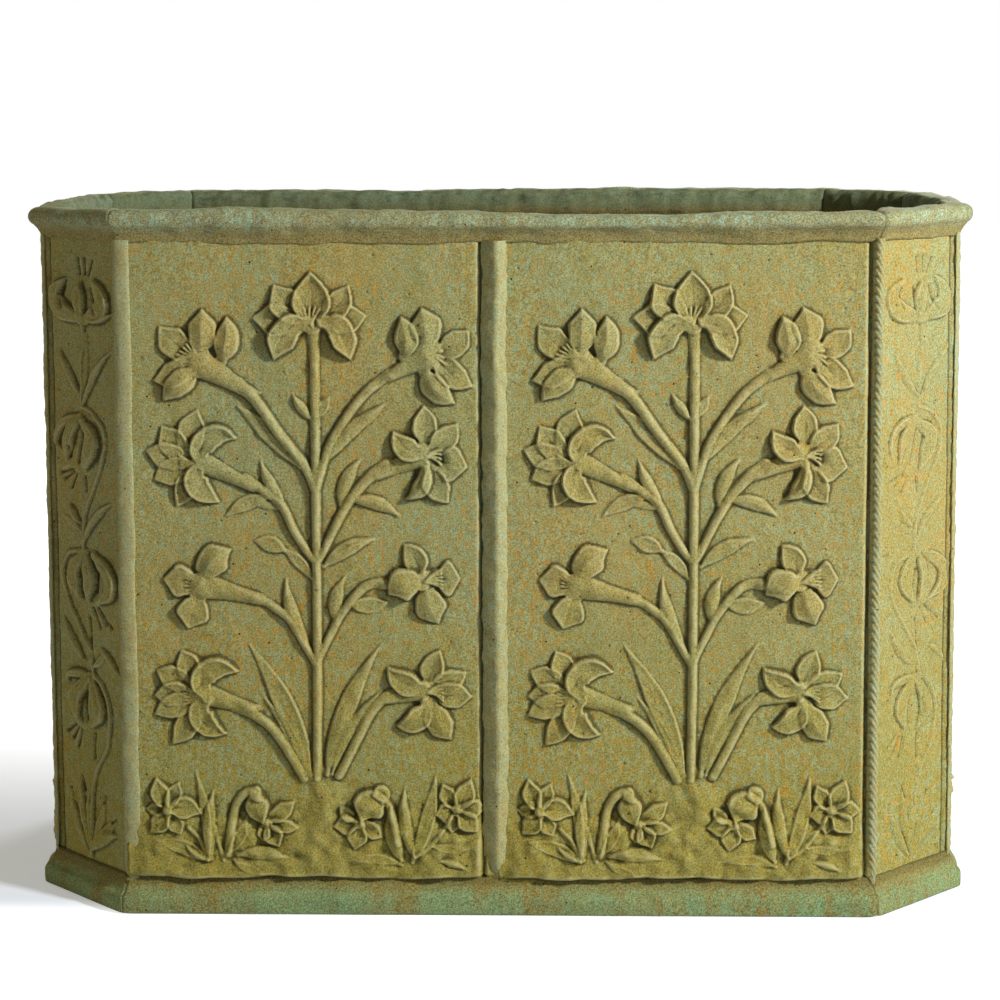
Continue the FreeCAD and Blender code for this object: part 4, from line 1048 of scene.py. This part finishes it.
def stripGroup():
    # A rolled strip of clay standing up: an oval section, sharpened to a ridge, along a line that wavers,
    # lumpy and cut across by slanting tool marks
    sizes = ("Length", "Half Width", "Proud", "Waver", "Lumps", "Rope", "Pitch", "Skew", "Sharp", "Seed")
    group = NodeGroup("clayStrip", [*((size, "NodeSocketFloat") for size in sizes),
                                    ("Clay", "NodeSocketMaterial")])
    top = group.add("ShaderNodeCombineXYZ", Z=group.given("Length")).outputs[0]
    line = group.add("GeometryNodeCurvePrimitiveLine", End=top).outputs[0]
    line = group.add("GeometryNodeResampleCurve", {"mode": "LENGTH"}, Curve=line,
                     Length=stripForm["step"]).outputs[0]
    oval = group.add("GeometryNodeCurvePrimitiveCircle", Resolution=stripForm["sides"], Radius=1.0).outputs[0]
    dot = group.add("ShaderNodeSeparateXYZ", Vector=group.add("GeometryNodeInputPosition").outputs[0])
    slope = group.math("DIVIDE", group.math("SUBTRACT", 1.0, group.math("ABSOLUTE", dot.outputs["X"])),
                       group.math("MAXIMUM", group.math("ABSOLUTE", dot.outputs["Y"]), 0.001))
    ridged = group.math("MULTIPLY", dot.outputs["Y"], group.math("POWER", slope, group.given("Sharp")))
    roof = group.add("ShaderNodeCombineXYZ", X=dot.outputs["X"], Y=ridged).outputs[0]
    oval = group.add("GeometryNodeSetPosition", Geometry=oval, Position=roof).outputs[0]
    size = group.add("ShaderNodeCombineXYZ", X=group.given("Half Width"), Y=group.given("Proud"), Z=1.0)
    oval = group.add("GeometryNodeTransform", Geometry=oval, Scale=size.outputs[0]).outputs[0]
    mesh = group.add("GeometryNodeCurveToMesh", Curve=line, Profile_Curve=oval, Fill_Caps=True).outputs[0]

    place = group.add("GeometryNodeInputPosition").outputs[0]
    parts = group.add("ShaderNodeSeparateXYZ", Vector=place)
    level = group.add("ShaderNodeCombineXYZ", Z=parts.outputs["Z"]).outputs[0]

    def uneven(where, scale, detail, gain):
        noise = group.add("ShaderNodeTexNoise", {"noise_dimensions": "4D"}, Vector=where,
                          W=group.given("Seed"), Scale=scale, Detail=detail)
        return group.math("MULTIPLY", group.math("SUBTRACT", noise.outputs[0], 0.5), group.given(gain))

    sway = uneven(level, stripForm["swayScale"], 2.0, "Waver")
    swell = uneven(place, stripForm["lumpScale"], 4.0, "Lumps")
    slant = group.math("MULTIPLY", parts.outputs["X"], stripForm["slant"])
    slant = group.math("ADD", parts.outputs["Z"], slant)
    phase = group.math("DIVIDE", group.math("MULTIPLY", slant, 2 * math.pi), group.given("Pitch"))
    wave = group.math("ABSOLUTE", group.math("SINE", group.math("MULTIPLY", phase, 0.5)))
    ridge = group.math("POWER", wave, stripForm["markShape"])
    cord = group.math("MULTIPLY", group.math("SUBTRACT", ridge, 1.0), group.given("Rope"))
    push = group.math("ADD", swell, cord)
    facing = group.add("GeometryNodeInputNormal").outputs[0]
    offset = group.add("ShaderNodeVectorMath", {"operation": "SCALE"}, slot0=facing, Scale=push).outputs[0]
    skew = group.math("MULTIPLY", parts.outputs["Y"], group.given("Skew"))
    aside = group.add("ShaderNodeCombineXYZ", X=group.math("SUBTRACT", sway, skew)).outputs[0]
    offset = group.add("ShaderNodeVectorMath", {"operation": "ADD"}, slot0=offset, slot1=aside).outputs[0]
    mesh = group.add("GeometryNodeSetPosition", Geometry=mesh, Offset=offset).outputs[0]
    # Painted shade in the grooves of the tool marks
    markDepth = group.math("MULTIPLY", group.given("Rope"), stripForm["markShade"])
    mark = group.math("MULTIPLY", group.math("SUBTRACT", 1.0, ridge), markDepth)
    mesh = group.add("GeometryNodeStoreNamedAttribute", {"data_type": "FLOAT", "domain": "POINT"},
                     Geometry=mesh, Name="recessShadeAndDirt", Value=mark).outputs[0]
    mesh = group.add("GeometryNodeRealizeInstances", Geometry=mesh).outputs[0]
    mesh = group.add("GeometryNodeSetMaterial", Geometry=mesh, Material=group.given("Clay")).outputs[0]
    group.tree.links.new(mesh, group.end.inputs[0])
    return group.tree


strips = stripGroup()
stripSockets = {item.name: item.identifier for item in strips.interface.items_tree if item.in_out == "INPUT"}
stripFoot = {"least": 0.3, "height": 0.022}  # the strip thins out towards its foot


def clayStrip(node, place, lean, foot, settings):
    # The strip is grown upright at the origin, then its mesh is turned and set against the wall
    inputs = {stripSockets[label]: value for label, value in {**settings, "Clay": beadClay}.items()}
    mesh = modified(bpy.data.meshes.new("grown"), "NODES", {"node_group": strips}, inputs)
    spots = vertexSpots(mesh)
    spots[:, :2] *= np.clip(stripFoot["least"] + spots[:, 2:] / stripFoot["height"], 0, 1)
    mesh.vertices.foreach_set("co", spots.ravel())
    turned = Matrix.Rotation(math.radians(lean), 4, "Z")
    mesh.transform(Matrix.Translation((place[0], place[1], foot)) @ turned)
    mesh.materials.clear()
    mesh.polygons.foreach_set("use_smooth", np.ones(len(mesh.polygons), dtype=bool))
    makePiece(mesh, beadClay, [node])


# Beads on the eight arrises, which stand at the first corners of the sides. Front and back have a soft flat
# band at their left and a thin rope of slanting marks at their right, and the ends have ragged ones. Each
# kind has its place along the side and its turn from it.
bead = {"Length": 0.563, "Half Width": 0.0074, "Proud": 0.0026, "Waver": 0.004, "Lumps": 0.0026, "Rope": 0.0,
        "Pitch": 0.0095, "Skew": 0.0, "Sharp": 0.0}
ropedBead = {**bead, "Rope": 0.0017, "Pitch": 0.0074, "Half Width": 0.0044, "Proud": 0.0042, "Lumps": 0.0018}
raggedBead = {**bead, "Half Width": 0.0056, "Proud": 0.0018, "Lumps": 0.0034, "Waver": 0.005, "Rope": 0.0006,
              "Pitch": 0.012}
flatKind, ropedKind, raggedKind = (bead, 0.0042, -8), (ropedBead, 0.0005, -22.5), (raggedBead, 0.0, -22.5)
beads = {
    "front_left_bead": ("front", flatKind), "front_right_bead": ("front_right_corner", ropedKind),
    "right_front_bead": ("right", raggedKind), "right_back_bead": ("back_right_corner", raggedKind),
    "back_right_bead": ("back", flatKind), "back_left_bead": ("back_left_corner", ropedKind),
    "left_back_bead": ("left", raggedKind), "left_front_bead": ("front_left_corner", raggedKind),
}
beadFoot, beadSeedStep = 0.022, 3.7
for number, (node, (side, (kind, shift, lean))) in enumerate(beads.items()):
    origin, along, outward = sideFrame(side)
    clayStrip(node, origin + shift * along, sides[side][0] + lean, beadFoot,
              {**kind, "Seed": beadSeedStep * number})

mullion = {"Length": 0.5525, "Half Width": 0.0108, "Proud": 0.0092, "Waver": 0.0060, "Lumps": 0.0052,
           "Rope": 0.0006, "Pitch": 0.034, "Skew": 0.25, "Sharp": 0.55}
mullionAside, mullionFoot = 0.002, 0.031
clayStrip("front_mullion", (-mullionAside, -halfDepth), 0, mullionFoot, {**mullion, "Seed": 41.0})
clayStrip("back_mullion", (mullionAside, halfDepth), 180, mullionFoot, {**mullion, "Seed": 52.0})
print("beads and mullions ready")

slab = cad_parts["floor_slab"]
slab.data.materials.clear()
slab.data.materials.append(floorClay)

# Camera fitted to the wall corners, the rim and the plinth
view = {"place": (0.0584, -2.2736, 0.7205), "pitch": 0.1105, "yaw": 0.0267, "roll": 0.0039, "lens": 88.61,
        "sensor": 36, "shift": -0.15}
camera = bpy.data.objects.new("camera", bpy.data.cameras.new("camera"))
scene.collection.objects.link(camera)
camera.location = view["place"]
turned = (Matrix.Rotation(view["yaw"], 3, "Z") @ Matrix.Rotation(math.pi / 2 - view["pitch"], 3, "X")
          @ Matrix.Rotation(-view["roll"], 3, "Z"))
camera.rotation_euler = turned.to_euler()
camera.data.sensor_width = view["sensor"]
camera.data.lens = view["lens"]
camera.data.shift_y = view["shift"]
scene.camera = camera

lamps = {
    "keyLight": {"place": (1.90, -1.45, 1.50), "target": (0, -0.1, 0.32), "size": 0.26, "power": 77,
                 "colour": (1.0, 0.985, 0.965)},
    "backLight": {"place": (1.0, 2.5, 1.3), "target": (0, 0.1, 0.3), "size": 0.8, "power": 42,
                  "colour": (1.0, 0.97, 0.92)},
    "fillLight": {"place": (-2.4, -0.45, 1.0), "target": (-0.3, 0, 0.3), "size": 0.5, "power": 5.5,
                  "colour": (1.0, 0.84, 0.52)},
}
for name, lamp in lamps.items():
    light = bpy.data.lights.new(name, "AREA")
    light.size = lamp["size"]
    light.energy = lamp["power"]
    light.color = lamp["colour"]
    holder = bpy.data.objects.new(name, light)
    holder.location = lamp["place"]
    aim = Vector(lamp["target"]) - Vector(lamp["place"])
    holder.rotation_euler = aim.to_track_quat("-Z", "Y").to_euler()
    scene.collection.objects.link(holder)


def seenRay(tree):
    # One for a ray that shows the background to the camera, straight or by way of a shiny or clear surface
    path = tree.nodes.new("ShaderNodeLightPath")
    seen = larger(tree, path.outputs["Is Camera Ray"], path.outputs["Is Glossy Ray"])
    return larger(tree, seen, path.outputs["Is Transmission Ray"])


# The world is white where it is seen and a weak warm light elsewhere
sky = {"strength": 0.115, "colour": (1.0, 0.84, 0.54)}
world = bpy.data.worlds.new("world")
world.use_nodes = True
scene.world = world
tree = world.node_tree
background = tree.nodes["Background"]
seen = seenRay(tree)
tree.links.new(between(tree, seen, sky["strength"], 1.0), background.inputs["Strength"])
tree.links.new(mixed(tree, seen, sky["colour"], (1.0, 1.0, 1.0)), background.inputs["Color"])

# The floor glows where it is seen, a painted light: it is white further off, where its glow is full and hides
# the planter's shadow, and it glows less beside the planter's left end, where it keeps the shadow
floor = {"half": 8.0, "level": -0.0005, "colour": (0.72, 0.80, 0.95, 1), "leastGlow": 0.33,
         "glows": [("Y", -0.05, 0.59), ("Y", -0.17, -0.24), ("X", 0.30, 0.60), ("X", -0.7, -1.2)]}
floorMaterial = bpy.data.materials.new("floorMaterial")
floorMaterial.use_nodes = True
tree = floorMaterial.node_tree
shader = tree.nodes["Principled BSDF"]
shader.inputs["Base Color"].default_value = floor["colour"]
shader.inputs["Roughness"].default_value = 1.0
shader.inputs["Specular IOR Level"].default_value = 0.0
shader.inputs["Emission Color"].default_value = (1, 1, 1, 1)
where = tree.nodes.new("ShaderNodeSeparateXYZ")
tree.links.new(tree.nodes.new("ShaderNodeTexCoord").outputs["Object"], where.inputs[0])
glow, *others = [ramped(tree, where.outputs[axis], low, high) for axis, low, high in floor["glows"]]
for other in others:
    glow = larger(tree, glow, other)
glow = times(tree, seenRay(tree), between(tree, glow, floor["leastGlow"], 1.0))
tree.links.new(glow, shader.inputs["Emission Strength"])
half = floor["half"]
floorMesh = bpy.data.meshes.new("floor")
floorCorners = [(-half, -half, 0), (half, -half, 0), (half, half, 0), (-half, half, 0)]
floorMesh.from_pydata(floorCorners, [], [(0, 1, 2, 3)])
floorMesh.materials.append(floorMaterial)
floorPiece = bpy.data.objects.new("floor", floorMesh)
floorPiece.location.z = floor["level"]
scene.collection.objects.link(floorPiece)
scene.view_settings.view_transform = "Standard"
